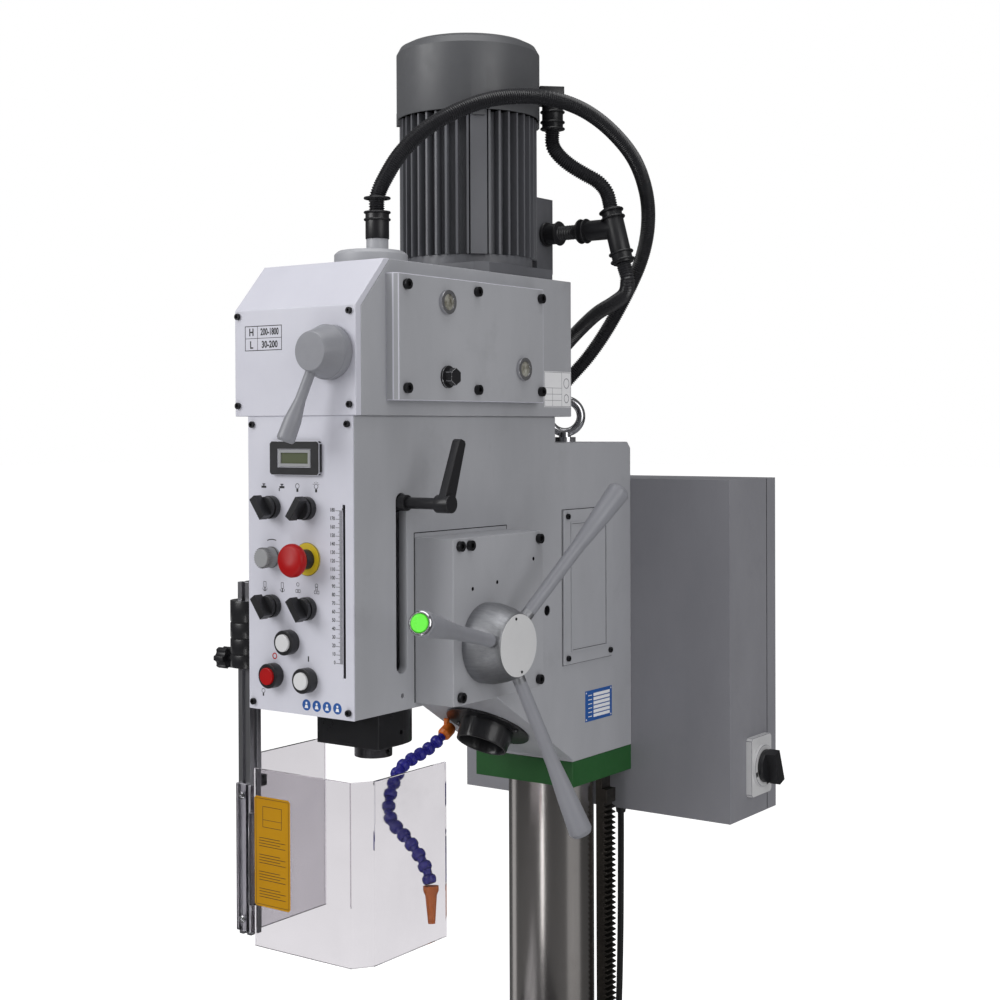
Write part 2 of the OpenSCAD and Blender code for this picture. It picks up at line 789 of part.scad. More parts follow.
// Gearbox housing, open below onto the head
module gearbox_housing() {
  y0 = gearbox_y0 + plate_t;
  cut_y = head_front + 50.5;
  cut_z = gearbox_top - 57.8;
  color("darkgray")
    head()
      difference() {
        across(gearbox_x0, gearbox_x1)
          polygon([[y0, head_top], [gearbox_y1, head_top], [gearbox_y1, gearbox_top],
            [cut_y + 11, gearbox_top], [y0, cut_z - 1]]);
        across(gearbox_x0 + gearbox_wall, gearbox_x1 - gearbox_wall)
          polygon([[y0 - 1, head_top + gearbox_floor],
            [gearbox_y1 - gearbox_wall, head_top + gearbox_floor],
            [gearbox_y1 - gearbox_wall, gearbox_top - gearbox_wall],
            [cut_y + 17, gearbox_top - gearbox_wall], [y0 - 1, cut_z - 12]]);
        bar_z(0, spindle_y, head_top - 1, head_top + 20, sleeve_seat_r + 4);
        bar_z(0, counter_y, head_top - 1, head_top + 20, shaft_seat_r);
        bar_z(0, spindle_y, gearbox_top - 20, gearbox_top + 1, sleeve_seat_r);
        bar_z(0, counter_y, gearbox_top - 20, gearbox_top + 1, shaft_seat_r);
        bar_z(0, motor_y, gearbox_top - 20, gearbox_top + 1, 46);
        block([gearbox_x1 - gearbox_wall - 1, head_front + 60, head_top + 30],
          [gearbox_x1 + 1, gearbox_y1 - 106, gearbox_top - 30]);
      }
}

// Front plate with the sloping top, and the side cover with a bevelled rim
module gearbox_covers() {
  cut_y = head_front + 50.5;
  cut_z = gearbox_top - 57.8;
  y0 = gearbox_y0;
  color("gainsboro")
    head()
      difference() {
        across(gearbox_x0, gearbox_x1)
          polygon([[y0, head_top], [y0 + plate_t, head_top], [y0 + plate_t, cut_z - 1],
            [cut_y + 11, gearbox_top], [cut_y, gearbox_top], [y0, cut_z]]);
        bar_y(selector_x, y0 - 1, y0 + plate_t + 1, selector_z, 10 + run);
        plate_screws(true);
      }
  x0 = gearbox_x1;
  x1 = x0 + side_cover_t;
  front = head_front + 53;
  rear = gearbox_y1 - 88;
  bevel = 5;
  color("gray")
    head()
      difference() {
        translate([0, 0, head_top + 18])
          linear_extrude(gearbox_h - 35.5)
            polygon([[x0, front], [x1 - bevel, front], [x1, front + bevel],
              [x1, rear - bevel], [x1 - bevel, rear], [x0, rear]]);
        side_screws(true);
      }
}

module side_screws(holes) {
  for (y = [head_front + 72, head_front + 214.5, head_front + 357.5])
    for (z = [head_top + 33, gearbox_top - 30.5])
      translate([gearbox_x1 + side_cover_t, y, z])
        rotate([0, 90, 0]) {
          if (holes)
            screw_hole(8, side_cover_t - 2);
          else
            screw(8, side_cover_t - 2);
        }
}

module panel_screws(holes) {
  for (x = [-head_x + 8, head_x - 8])
    for (z = [-head_floor + 9, head_top - 10])
      translate([x, head_front, z])
        rotate([90, 0, 0]) {
          if (holes)
            screw_hole(5, 8);
          else
            screw(5, 8);
        }
}

module plate_screws(holes) {
  for (x = [gearbox_x0 + 6, gearbox_x1 - 9])
    for (z = [head_top + 13, gearbox_top - 65])
      translate([x, gearbox_y0, z])
        rotate([90, 0, 0]) {
          if (holes)
            screw_hole(5, 8);
          else
            screw(5, 8);
        }
}

module access_screws(holes) {
  for (y = [access_y[0] + 9, access_y[1] - 9])
    for (z = [access_z[0] + 9, access_z[1] - 9])
      translate([head_x + 3, y, z])
        rotate([0, 90, 0]) {
          if (holes)
            screw_hole(5, 2.5);
          else
            screw(5, 2.5);
        }
}

// The fixed socket screws of every cover, and the foot bolts
feed_screws = [[-412.8, 133.5], [-392.5, 133.4], [-242.6, 133.4], [-412, -50], [-243.7, -48.7]];

module cover_screws() {
  color("black") {
    head() {
      side_screws(false);
      for (p = feed_screws)
        translate([feed_box_x, p[0], p[1]])
          rotate([0, 90, 0])
            screw(8, 8);
      panel_screws(false);
      plate_screws(false);
      access_screws(false);
    }
  }
  color("dimgray")
    foot_bolts(false);
}

// Two sight glasses and the hexagon plug on the side cover
module oil_fittings() {
  x = gearbox_x1 + side_cover_t;
  head() {
    for (p = [[head_front + 151, head_top + 140], [head_front + 316, head_top + 62]])
      translate([x, p[0], p[1]])
        rotate([0, 90, 0]) {
          color("silver")
            difference() {
              cylinder(r = 15, h = 5);
              translate([0, 0, 1])
                cylinder(r = 10, h = 5);
            }
          color("lightgray")
            translate([0, 0, 1])
              cylinder(r = 10, h = 2.5);
        }
    color("black")
      translate([x, head_front + 152.4, head_top + 48])
        rotate([0, 90, 0]) {
          cylinder(r = 14, h = 3);
          cylinder(r = 11, h = 14, $fn = 6);
        }
  }
}

// Covers over the spindle, the counter shaft and the electrical opening
access_y = [-97, 32];
access_z = [-54, 162];

module small_covers() {
  color("gray")
    head() {
      translate([0, spindle_y, gearbox_top])
        rotate_extrude()
          polygon([[0, 16], [32, 16], [32, 0], [46.4, 0], [46.4, 16], [41, 20.5], [0, 20.5]]);
      bar_z(8, spindle_y + 3, gearbox_top + 20.5, gearbox_top + 36, 14);
      bar_z(0, counter_y, gearbox_top, gearbox_top + 8, shaft_seat_r + 1);
      difference() {
        block([head_x, access_y[0], access_z[0]], [head_x + 3, access_y[1], access_z[1]]);
        access_screws(true);
      }
    }
}

// Quill: hollow, with a rack cut in its rear, and its two bearings
module quill() {
  color("silver")
    head()
      translate([0, spindle_y, 0]) {
        difference() {
          bar_z(0, 0, quill_bottom, quill_top, quill_r);
          bar_z(0, 0, quill_bottom + 22, quill_top - 16, tail_r + 5);
          bar_z(0, 0, quill_bottom - 1, quill_bottom + 23, 30);
          bar_z(0, 0, quill_top - 17, quill_top + 1, 28);
          difference() {
            block([-15.5, quill_rack_r - 1.25 * coarse_module, -head_floor],
              [15.5, quill_r + 1, quill_top - 25]);
            translate([-16, 0, feed_z])
              rotate([90, 0, 90])
                linear_extrude(32)
                  translate([quill_rack_r, 0])
                    polygon(rack_outline(coarse_module, -head_floor - feed_z,
                      quill_top - 25 - feed_z, 8));
          }
        }
      }
  color("gainsboro")
    head()
      translate([0, spindle_y, 0]) {
        ring(quill_bottom, quill_bottom + 22, nose_r + run, 30);
        ring(quill_top - 16, quill_top, tail_r + 3.5 + run, 28);
      }
}

module spindle() {
  color("silver")
    head()
      translate([0, spindle_y, 0])
        difference() {
          union() {
            bar_z(0, 0, quill_bottom - 17, quill_bottom + 22, nose_r);
            bar_z(0, 0, quill_bottom + 21, quill_top - 18, tail_r + 4.5);
            bar_z(0, 0, quill_top - 19, quill_top + 2, tail_r + 3.5);
            translate([0, 0, quill_top + 1])
              spline(tail_r, gearbox_top + 10 - quill_top, 0);
          }
          translate([0, 0, quill_bottom - 18])
            cylinder(r1 = 15.7, r2 = 12.6, h = 118);
          for (a = [0, 180])
            rotate(a)
              bar_x(0, 40, 0, quill_bottom - 9, 2.5);
        }
}

module drive_sleeve() {
  bottom = head_top - 30;
  color("lightgray")
    head()
      translate([0, spindle_y, 0])
        difference() {
          union() {
            bar_z(0, 0, bottom, gearbox_top + 5, sleeve_r);
            bar_z(0, 0, head_top + 4 + free, low_z + 1, 26);
            translate([0, 0, low_z])
              gear(coarse_module, low_large, gear_t, sleeve_r - 1, 90);
            translate([0, 0, high_z])
              gear(coarse_module, high_small, gear_t, sleeve_r - 1, 90);
          }
          translate([0, 0, bottom - 1])
            spline(tail_r, gearbox_top + 8 - bottom, 0.08);
        }
}

module counter_shaft() {
  color("lightgray")
    head()
      translate([0, counter_y, 0]) {
        bar_z(0, 0, head_top - 11, gearbox_top - 1, shaft_r);
        for (a = [0, 180])
          rotate(a)
            block([-2.5, shaft_r - 3, low_z - 4], [2.5, shaft_r + 2, high_z + gear_t]);
        translate([0, 0, input_z])
          gear(fine_module, input_teeth, 10, shaft_r - 1, 90);
      }
}

// Sliding pair: low gear below, high gear above, a groove for the fork's shoe between them
module sliding_gears() {
  groove_z = selector_z - shift_stroke / 2;
  color("lightgray")
    head()
      translate([0, counter_y, 0])
        difference() {
          union() {
            bar_z(0, 0, low_z + 1, high_z - shift_stroke + 1, 19.3);
            bar_z(0, 0, groove_z + shoe_r + 0.5, groove_z + shoe_r + 6, 30);
            bar_z(0, 0, groove_z - shoe_r - 4, groove_z - shoe_r - 0.5, 30);
            translate([0, 0, low_z])
              gear(coarse_module, low_small, gear_t, shaft_r + 1,
                270 + 180 / low_small);
            translate([0, 0, high_z - shift_stroke])
              gear(coarse_module, high_large, gear_t, shaft_r + 1,
                270 + 180 / high_large);
          }
          bar_z(0, 0, low_z - 1, high_z, shaft_r + run);
          for (a = [0, 180])
            rotate(a)
              block([-2.7, 0, low_z - 1], [2.7, shaft_r + 2.2, high_z]);
        }
}

// Selector: boss and handle outside, shaft and fork arm with its shoe inside
module selector_lever() {
  out = gearbox_y0;
  arm_y = counter_y + 37;
  color("gray")
    head() {
      cone_y(selector_x, out - 39, out - 12, selector_z, 23, 32);
      bar_y(selector_x, out - 13, out - 1, selector_z, 32.5);
      translate([selector_x, out - 24, selector_z])
        rotate([180 - selector_lean, selector_tilt, 0])
          rotate_extrude()
            polygon([[0, 12], [6, 12], [6.5, 60], [10.5, 86], [11, 109], [9, 112], [0, 112]]);
    }
  color("silver")
    head() {
      bar_y(selector_x, out - 10, arm_y + 12, selector_z, 7);
      bar_y(selector_x, out - 10, out + plate_t, selector_z, 10);
      translate([selector_x, arm_y - 4, selector_z])
        rotate([0, -fork_angle, 0]) {
          difference() {
            union() {
              block([-fork_l, 0, -5], [0, 8, 5]);
              bar_y(0, 0, 8, 0, 9);
            }
            bar_y(0, -1, 9, 0, 6.9);
          }
          bar_y(-fork_l, -33, 8, 0, shoe_r);
        }
    }
}

// Motor shaft, rotor, pinion and fan
module motor_rotor() {
  color("silver")
    head()
      translate([0, motor_y, 0]) {
        bar_z(0, 0, input_z - 4, cowl_z + 30, shaft_r);
        translate([0, 0, input_z])
          gear(fine_module, motor_teeth, 10, shaft_r - 1, 270 + 180 / motor_teeth);
        bar_z(0, 0, fins_z + 25, fins_z + 135, 52);
      }
  color("dimgray")
    head()
      translate([0, motor_y, cowl_z + 14]) {
        cylinder(r = 24, h = 14);
        for (a = [0:45:315])
          rotate(a)
            translate([20, -1.5, 0])
              cube([58, 3, 26]);
      }
}

module motor_body() {
  color("dimgray")
    head()
      translate([0, motor_y, 0]) {
        difference() {
          union() {
            translate([0, 0, motor_z])
              plate(176, 176, flange_h, 14);
            bar_z(0, 0, motor_z + flange_h, fins_z, fin_r - 6);
          }
          bar_z(0, 0, motor_z - 1, fins_z + 1, motor_seat_r);
        }
        difference() {
          union() {
            bar_z(0, 0, fins_z, cowl_z, fin_r - 13);
            for (i = [0:fin_count - 1])
              rotate(i * 360 / fin_count)
                block([fin_r - 16, -1.5, fins_z], [fin_r, 1.5, cowl_z]);
            for (a = [0:90:270])
              rotate(a + 45)
                block([0, -11, fins_z], [fin_r, 11, cowl_z]);
          }
          bar_z(0, 0, fins_z - 1, cowl_z - 9, 72);
          bar_z(0, 0, cowl_z - 10, cowl_z + 1, motor_seat_r);
        }
      }
  color("saddlebrown")
    head()
      translate([0, motor_y, 0])
        ring(fins_z + 12, fins_z + 150, 52.8, 72);
  box_y = motor_y + fin_r - 1;
  color("dimgray")
    head()
      difference() {
        block([-50, box_y, fins_z - 12], [50, box_y + 40, fins_z + 93]);
        block([-46, box_y + 4, fins_z - 8], [46, box_y + 37, fins_z + 89]);
      }
}

// Domed sheet cowl over the fan
module fan_cowl() {
  color("gray")
    head() {
      translate([0, motor_y, cowl_z])
        rotate_extrude()
          polygon([[cowl_r, 0], [cowl_r, cowl_h - 14], [cowl_r - 5, cowl_h - 5],
            [cowl_r - 15, cowl_h], [0, cowl_h], [0, cowl_h - 2.5],
            [cowl_r - 16, cowl_h - 2.5], [cowl_r - 7.5, cowl_h - 7],
            [cowl_r - 2.5, cowl_h - 14], [cowl_r - 2.5, 0]]);
      translate([0, motor_y, cowl_z])
        for (a = [0:90:270])
          rotate(a + 45)
            block([fin_r, -8, -8], [cowl_r, 8, 10]);
    }
}

module bearings() {
  color("gainsboro")
    head() {
      translate([0, spindle_y, 0]) {
        ring(head_top - 12, head_top + 4, sleeve_r + run, sleeve_seat_r - run);
        ring(gearbox_top - 10, gearbox_top, sleeve_r + run, sleeve_seat_r - run);
      }
      translate([0, counter_y, 0]) {
        ring(head_top - 12, head_top, shaft_r + run, shaft_seat_r - run);
        ring(gearbox_top - 10, gearbox_top, shaft_r + run, shaft_seat_r - run);
      }
      translate([0, motor_y, 0]) {
        ring(motor_z, motor_z + 13, shaft_r + run, motor_seat_r - run);
        ring(cowl_z - 10, cowl_z, shaft_r + run, motor_seat_r - run);
      }
    }
}

// Front panel with the display and the scale's slot
module control_panel() {
  color("gainsboro")
    head()
      difference() {
        block([-head_x, head_front, -head_floor], [head_x, head_front + panel_t, head_top]);
        block([scale_slot_x - 2, head_front - 1, -17],
          [scale_slot_x + 2, head_front + panel_t + 1, 187]);
        for (p = concat(knob_at, [speed_at, start_at, off_at, return_at]))
          bar_y(p[0], head_front - 1, head_front + panel_t + 1, p[1], 8);
        bar_y(stop_at[0], head_front - 1, head_front + panel_t + 1, stop_at[1], 8);
        panel_screws(true);
      }
  color("black")
    head()
      difference() {
        translate([-4, head_front, 241.5])
          rotate([90, 0, 0])
            linear_extrude(5)
              polygon(cut_corners(80, 41, 3));
        block([-30, head_front - 6, 231], [22, head_front - 3, 252]);
      }
  color("darkkhaki")
    head()
      block([-29.7, head_front - 3.6, 231.3], [21.7, head_front - 3, 251.7]);
}

// Bezels of the push buttons and switches
module bezel(r, inner, h) {
  difference() {
    cylinder(r = r, h = h);
    translate([0, 0, -1])
      cylinder(r = inner, h = h + 2);
  }
}

module switch_bezels() {
  color("black") {
    for (p = [start_at, off_at, return_at])
      on_panel(p)
        bezel(bezel_d / 2, 10.5, 13);
    for (p = knob_at)
      on_panel(p)
        bezel(14, 6.2, 8);
    on_panel(stop_at)
      bezel(12, 7.2, 14);
  }
  color("gray")
    on_panel(speed_at)
      bezel(13, 6.2, 3);
  color("gold")
    on_panel(stop_at)
      bezel(20, 11.5, 2);
}

// A selector switch's knob: a stem, a round base and a winged grip turned to its mark
module selector_knob(at, turn) {
  color("black")
    on_panel(at)
      rotate(turn) {
        translate([0, 0, -12])
          cylinder(r = 6.2 - run, h = 21);
        translate([0, 0, 8 + free])
          cylinder(r = 13, h = 6);
        translate([0, 0, 14])
          block([-14, -4.5, 0], [15, 4.5, 13]);
      }
}

module coolant_switch() {
  selector_knob(knob_at[0], 125);
}

module light_switch() {
  selector_knob(knob_at[1], 55);
}

module mode_switch() {
  selector_knob(knob_at[2], 125);
}

module range_switch() {
  selector_knob(knob_at[3], 125);
}

module speed_knob() {
  color("gray")
    on_panel(speed_at) {
      translate([0, 0, -12])
        cylinder(r = 6.2 - run, h = 16);
      translate([0, 0, 3 + free])
        cylinder(r1 = 12.5, r2 = 11, h = 17);
    }
}

module stop_button() {
  color("red")
    on_panel(stop_at)
      translate([0, 0, 14 + 5 + free])
        rotate_extrude()
          polygon([[0, 0], [13, 0], [18.5, 2.5], [20, 6], [20, 10], [18.5, 13.5], [15.5, 15],
            [0, 15.5]]);
  color("black")
    on_panel(stop_at)
      translate([0, 0, -8])
        cylinder(r = 7.2 - run, h = 28);
}

// A push button's cap on its stem
module push_cap(at) {
  on_panel(at) {
    translate([0, 0, -8])
      cylinder(r = 7, h = 14);
    translate([0, 0, button_travel + free])
      cylinder(r = 10.5 - run, h = 12.5);
  }
}

module start_button() {
  color("white")
    push_cap(start_at);
}

module off_button() {
  color("red")
    push_cap(off_at);
}

module return_button() {
  color("white")
    push_cap(return_at);
}

// Feed box: a closed box with the return spring and the bush of the feed shaft
feed_box_y = [-425.5, -232];
feed_box_z = [-60, 143];

function spiral(turns, r0, pitch, t) = concat(
  [for (a = [0:24:360 * turns]) (r0 + pitch * a / 360) * [cos(a), sin(a)]],
  [for (a = [360 * turns:-24:0]) (r0 + t + pitch * a / 360) * [cos(a), sin(a)]]);

module feed_box() {
  w = 10;
  color("gray")
    head()
      difference() {
        block([head_x, feed_box_y[0], feed_box_z[0]], [feed_box_x, feed_box_y[1], feed_box_z[1]]);
        block([head_x + 4, feed_box_y[0] + 16, feed_box_z[0] + 16],
          [feed_box_x - w, feed_box_y[1] - 16, feed_box_z[1] - 16]);
        bar_x(head_x - 1, feed_box_x + 1, feed_y, feed_z, feed_shaft_r + run);
        for (p = feed_screws)
          translate([feed_box_x, p[0], p[1]])
            rotate([0, 90, 0])
              screw_hole(8, 8);
        for (p = [[-385.7, 79.7], [-334, 84], [-254, 108]])
          bar_x(feed_box_x - 6, feed_box_x + 1, p[0], p[1], 2.5);
      }
  color("steelblue")
    head()
      translate([head_x + 4, feed_y, feed_z])
        rotate([0, 90, 0])
          linear_extrude(20)
            polygon(spiral(5, feed_shaft_r + 4, 4, 1));
}

// Feed hub with three leaning arms, grips and the shaft with its pinion
module feed_hub() {
  x0 = feed_box_x;
  color("silver")
    head() {
      translate([x0 + free, feed_y, feed_z])
        rotate([0, 90, 0])
          rotate_extrude()
            polygon([[0, 0], [feed_hub_r, 0], [feed_hub_r, 15], [feed_hub_r - 4, 32],
              [feed_hub_r - 10, 47], [feed_hub_r - 12, 49], [0, 49]]);
      bar_x(14.5, feed_neck_x + 1, feed_y, feed_z, feed_journal_r);
      bar_x(feed_neck_x, x0 + 1, feed_y, feed_z, feed_shaft_r);
      bar_x(-35, -14.5, feed_y, feed_z, feed_journal_r);
      translate([-15, feed_y, feed_z])
        rotate([90, 0, 90])
          gear(coarse_module, pinion_teeth, 30, 0, 180);
    }
  color("gray")
    head()
      for (i = [0:2])
        feed_arm(i)
          difference() {
            rotate_extrude()
              polygon([[0, feed_hub_r - 8], [8, feed_hub_r - 8], [9, feed_arm_l - 98],
                [grip_d / 2 - 2.5, feed_arm_l - 50], [grip_d / 2, feed_arm_l - 5],
                [grip_d / 2 - 3, feed_arm_l], [0, feed_arm_l]]);
            if (i == 1)
              translate([0, 0, feed_arm_l - 18])
                cylinder(r = 10 + run, h = 20);
          }
}

// The frame of one arm: +z runs out along the arm
module feed_arm(i) {
  translate([arm_root_x, feed_y, feed_z])
    rotate([feed_angles[i] - 90, 0, 0])
      rotate([0, feed_lean, 0])
        children();
}

module clutch_button() {
  color("limegreen")
    head()
      feed_arm(1)
        translate([0, 0, feed_arm_l - 14])
          cylinder(r = 10, h = 17);
}

// Depth stop block in the side slot, and its clamp lever
module depth_stop() {
  color("black")
    head() {
      bar_x(head_x - head_wall - 8, head_x + 10, stop_slot_y, stop_z, 9.8);
      block([head_x - head_wall - 16, stop_slot_y - 12, stop_z - 12],
        [head_x - head_wall - free, stop_slot_y + 12, stop_z + 12]);
      block([scale_slot_x - 1.5, head_front - 1.5, stop_z - 5.5],
        [scale_slot_x + 1.5, stop_slot_y, stop_z - 3.3]);
    }
}

module depth_clamp_lever() {
  x = head_x + 10;
  color("black")
    head() {
      bar_x(x + free, x + 48, stop_slot_y, stop_z, 7);
      bar_x(x + 46, x + 67, stop_slot_y, stop_z, 11);
      translate([x + 52, stop_slot_y, stop_z])
        rotate([-20.5, 0, 0])
          across(0, 11)
            polygon([[-10, 0], [10, 0], [6.5, 78], [4, 81], [-4, 81], [-6.5, 78]]);
    }
}

// Clamp block on the quill's end
module quill_clamp() {
  front = spindle_y - 50;
  color("black")
    head()
      difference() {
        union() {
          bar_z(0, spindle_y, quill_bottom + 2, -head_floor - 4, 49);
          block([-50, front, quill_bottom + 2], [50, spindle_y, -head_floor - 4]);
        }
        bar_z(0, spindle_y, quill_bottom, -head_floor, quill_r + run);
        bar_x(45, 60, spindle_y - 5, quill_bottom + 18, 3);
      }
}

// Lamp cup on the sloping underside
lamp_y = -158;

module work_lamp() {
  z = -head_floor - slope_rise * (lamp_y - slope_start);
  color("black")
    head()
      translate([0, lamp_y, z])
        rotate([180 - slope_angle, 0, 0]) {
          cylinder(r = 60, h = 3);
          difference() {
            translate([0, 0, 2])
              cylinder(r1 = 38, r2 = 36, h = 28);
            translate([0, 0, 8])
              cylinder(r1 = 30, r2 = 33, h = 23);
          }
          for (x = [-47, 47])
            translate([x, 0, 3])
              cylinder(r = 5, h = 3);
        }
}

// Electrical cabinet: sheet box open at the back, mounting plate, rail with switchgear
module cabinet_body() {
  color("gray")
    head() {
      difference() {
        block([cabinet_x0, cabinet_y0, cabinet_z0], [cabinet_x1, door_y, cabinet_z1]);
        block([cabinet_x0 + sheet, cabinet_y0 + sheet, cabinet_z0 + sheet],
          [cabinet_x1 - sheet, door_y + 1, cabinet_z1 - sheet]);
        bar_y(0, cabinet_y0 - 1, cabinet_y0 + sheet + 1, 120, 20);
        bar_z(cable_exit[0], cable_exit[1], cabinet_z0 - 1, cabinet_z0 + sheet + 1, 8);
        bar_x(cabinet_x1 - sheet - 1, cabinet_x1 + 1, switch_at[0], switch_at[1], 8 + run);
      }
      for (z = door_hinge_z)
        difference() {
          union() {
            block([cabinet_x0 - 3, door_y - 16, z], [cabinet_x0, door_y, z + 30]);
            bar_z(door_hinge[0], door_hinge[1], z, z + 30, knuckle_r);
          }
          bar_z(door_hinge[0], door_hinge[1], z - 1, z + 31, hinge_pin_r + run);
        }
      block([cabinet_x0 + 25, cabinet_y0 + sheet, cabinet_z0 + 25],
        [cabinet_x1 - 25, cabinet_y0 + sheet + 3, cabinet_z1 - 25]);
      for (z = [cabinet_z0 + 120, cabinet_z0 + 260, cabinet_z0 + 390])
        block([cabinet_x0 + 45, cabinet_y0 + sheet + 3, z],
          [cabinet_x1 - 45, cabinet_y0 + sheet + 10, z + 35]);
    }
  color("white")
    head() {
      for (x = [cabinet_x0 + 60, cabinet_x0 + 115, cabinet_x0 + 170, cabinet_x0 + 225])
        for (z = [cabinet_z0 + 110, cabinet_z0 + 250])
          block([x, cabinet_y0 + sheet + 10, z], [x + 45, cabinet_y0 + 80, z + 75]);
      difference() {
        translate([cabinet_x1, switch_at[0], switch_at[1]])
          rotate([90, 0, 90]) {
            plate(64, 86, 9, 4);
            cylinder(r = 30, h = 14);
          }
        bar_x(cabinet_x1 - 1, cabinet_x1 + 20, switch_at[0], switch_at[1], 8 + run);
      }
    }
}

module cabinet_door() {
  color("gray")
    head() {
      difference() {
        block([cabinet_x0, door_y + free, cabinet_z0], [cabinet_x1, cabinet_y1, cabinet_z1]);
        block([cabinet_x0 + sheet, door_y, cabinet_z0 + sheet],
          [cabinet_x1 - sheet, cabinet_y1 - sheet, cabinet_z1 - sheet]);
      }
      for (z = [cabinet_z0 + 110, cabinet_z1 - 110])
        bar_y(cabinet_x1 - 25, cabinet_y1, cabinet_y1 + 4, z, 9);
      for (z = door_hinge_z) {
        block([cabinet_x0 - 3, door_y + 1, z + 30 + free],
          [cabinet_x0, door_y + 16, z + 60]);
        bar_z(door_hinge[0], door_hinge[1], z + 30 + free, z + 60, knuckle_r);
        bar_z(door_hinge[0], door_hinge[1], z, z + 31, hinge_pin_r);
      }
    }
}

module main_switch_knob() {
  color("black")
    head()
      translate([cabinet_x1, switch_at[0], switch_at[1]])
        rotate([90, 0, 90]) {
          translate([0, 0, -15])
            cylinder(r = 8, h = 30);
          translate([0, 0, 14 + free])
            cylinder(r = 24, h = 8);
          translate([0, 0, 22])
            rotate(20)
              block([-8, -24, 0], [8, 24, 16]);
        }
}

// Guard: sleeve fixed to the head's left side, square rail through it
module guard_sleeve() {
  x = rail_at[0];
  y = rail_at[1];
  h = rail_w / 2 + run;
  color("black")
    head()
      difference() {
        union() {
          difference() {
            bar_z(x, y, rail_sleeve_z[0], rail_sleeve_z[1], rail_sleeve_r);
            for (z = [-6, 14, 34])
              translate([x, y, 0])
                ring(z, z + 1.8, rail_sleeve_r - 0.8, rail_sleeve_r + 1);
          }
          block([x, y - 14, 5], [-head_x, y + 14, 50]);
        }
        block([x - h, y - h, rail_sleeve_z[0] - 1], [x + h, y + h, rail_sleeve_z[1] + 1]);
        bar_x(x - rail_sleeve_r - 1, x, y, rail_sleeve_z[0] + 8, 4 + run);
      }
}

module guard_knob() {
  x = rail_at[0];
  y = rail_at[1];
  z = rail_sleeve_z[0] + 8;
  color("black")
    head() {
      bar_x(x - rail_sleeve_r - 12, x - rail_w / 2 - free, y, z, 4);
      translate([x - rail_sleeve_r - 26, y, z])
        rotate([0, 90, 0])
          difference() {
            cylinder(r = 14, h = 16);
            for (a = [0:60:300])
              rotate(a)
                translate([16, 0, -1])
                  cylinder(r = 5, h = 18);
          }
    }
}

// Slotted rail with the left side sheet and the fixed leaf of the shield's hinge
module guard_rail() {
  x = rail_at[0];
  y = rail_at[1];
  h = rail_w / 2;
  side_x = x + 4;
  color("silver")
    head()
      difference() {
        block([x - h, y - h, rail_z0], [x + h, y + h, rail_z0 + rail_l]);
        for (a = [0:90:270])
          translate([x, y, rail_z0 - 1])
            rotate(a)
              block([-3, h - 4, 0], [3, h + 1, rail_l + 2]);
      }
  color("dimgray")
    head()
      for (z = [shield_z + 45, shield_z + shield_h - 30])
        block([x - h, y + h, z], [side_x, y + h + 16, z + 14]);
  color("lightblue")
    head() {
      block([side_x, y + h + 2, shield_z + 14],
        [side_x + shield_t, y + h + side_sheet_d, shield_z + 14 + shield_h]);
      difference() {
        union() {
          block([x - h - 1, y - h - shield_t, shield_z + 15],
            [shield_hinge[0], y - h, shield_z + 200]);
          for (z = [shield_z + 15, shield_z + 165])
            bar_z(shield_hinge[0], shield_hinge[1], z, z + 35, knuckle_r);
        }
        for (z = [shield_z + 30, shield_z + 185])
          bar_y(x, y - h - shield_t - 1, y - h + 1, z, 2.5);
        bar_z(shield_hinge[0], shield_hinge[1], shield_z, shield_z + 220, hinge_pin_r + run);
        bar_z(shield_hinge[0], shield_hinge[1], shield_z + 50, shield_z + 165,
          knuckle_r + free);
      }
    }
}

// Clear shield: front, slanting corner and right side, folded from one sheet, with its hinge pin
module guard_shield() {
  x = shield_hinge[0];
  y = shield_hinge[1];
  t = shield_t;
  w = shield_w;
  side_x = w + shield_cut[0];
  side_y = shield_cut[1];
  color("lightblue")
    head()
      translate([x, y - t / 2, 0]) {
        translate([0, 0, shield_z])
          linear_extrude(shield_h)
            polygon([[knuckle_r + 1, 0], [w, 0], [side_x, side_y],
              [side_x, side_y + shield_d], [side_x - t, side_y + shield_d],
              [side_x - t, side_y + 1.5], [w - 1.5, t], [knuckle_r + 1, t]]);
        block([0, 0, shield_z + 50 + free], [knuckle_r + 2, t, shield_z + 165 - free]);
        bar_z(0, t / 2, shield_z + 50 + free, shield_z + 165 - free, knuckle_r);
        bar_z(0, t / 2, shield_z + 16, shield_z + 199, hinge_pin_r);
      }
}

// Segmented coolant hose: balls along a course, upper and lower half, with fitting and nozzle
hose_route = [[-61, -170, -148], [-61, -188, -157], [-63, -204, -165], [-64, -220, -171],
  [-66, -238, -175], [-67, -256, -180], [-67, -272, -187], [-58, -300, -206], [-50, -317, -228],
  [-38, -325, -243], [-10, -332, -256], [19, -338, -276], [37, -343, -296], [43, -345, -310]];
nozzle_tip = [48, -350, -357];
hose_beads = 17;
hose_split = 9;
hose_course = steps(fine_course(hose_route), hose_beads);
hose_step = norm(hose_course[hose_split] - hose_course[hose_split - 1]);
bead_l = 15;
bend_room = 1.35;
nipple_at = [-63, -170];
nipple_r = 4;

module along(p, q) {
  d = q - p;
  translate(p)
    rotate([0, acos(d[2] / norm(d)), atan2(d[1], d[0])])
      children();
}

module hose_bead(tail) {
  r = hose_d / 2;
  rotate_extrude()
    polygon([[3, -tail], [r * 0.62, -tail], [r * 0.62, 3], [r * 0.95, 6], [r, 9.5], [r * 0.93, 13],
      [r * 0.76, bead_l], [3, bead_l]]);
}

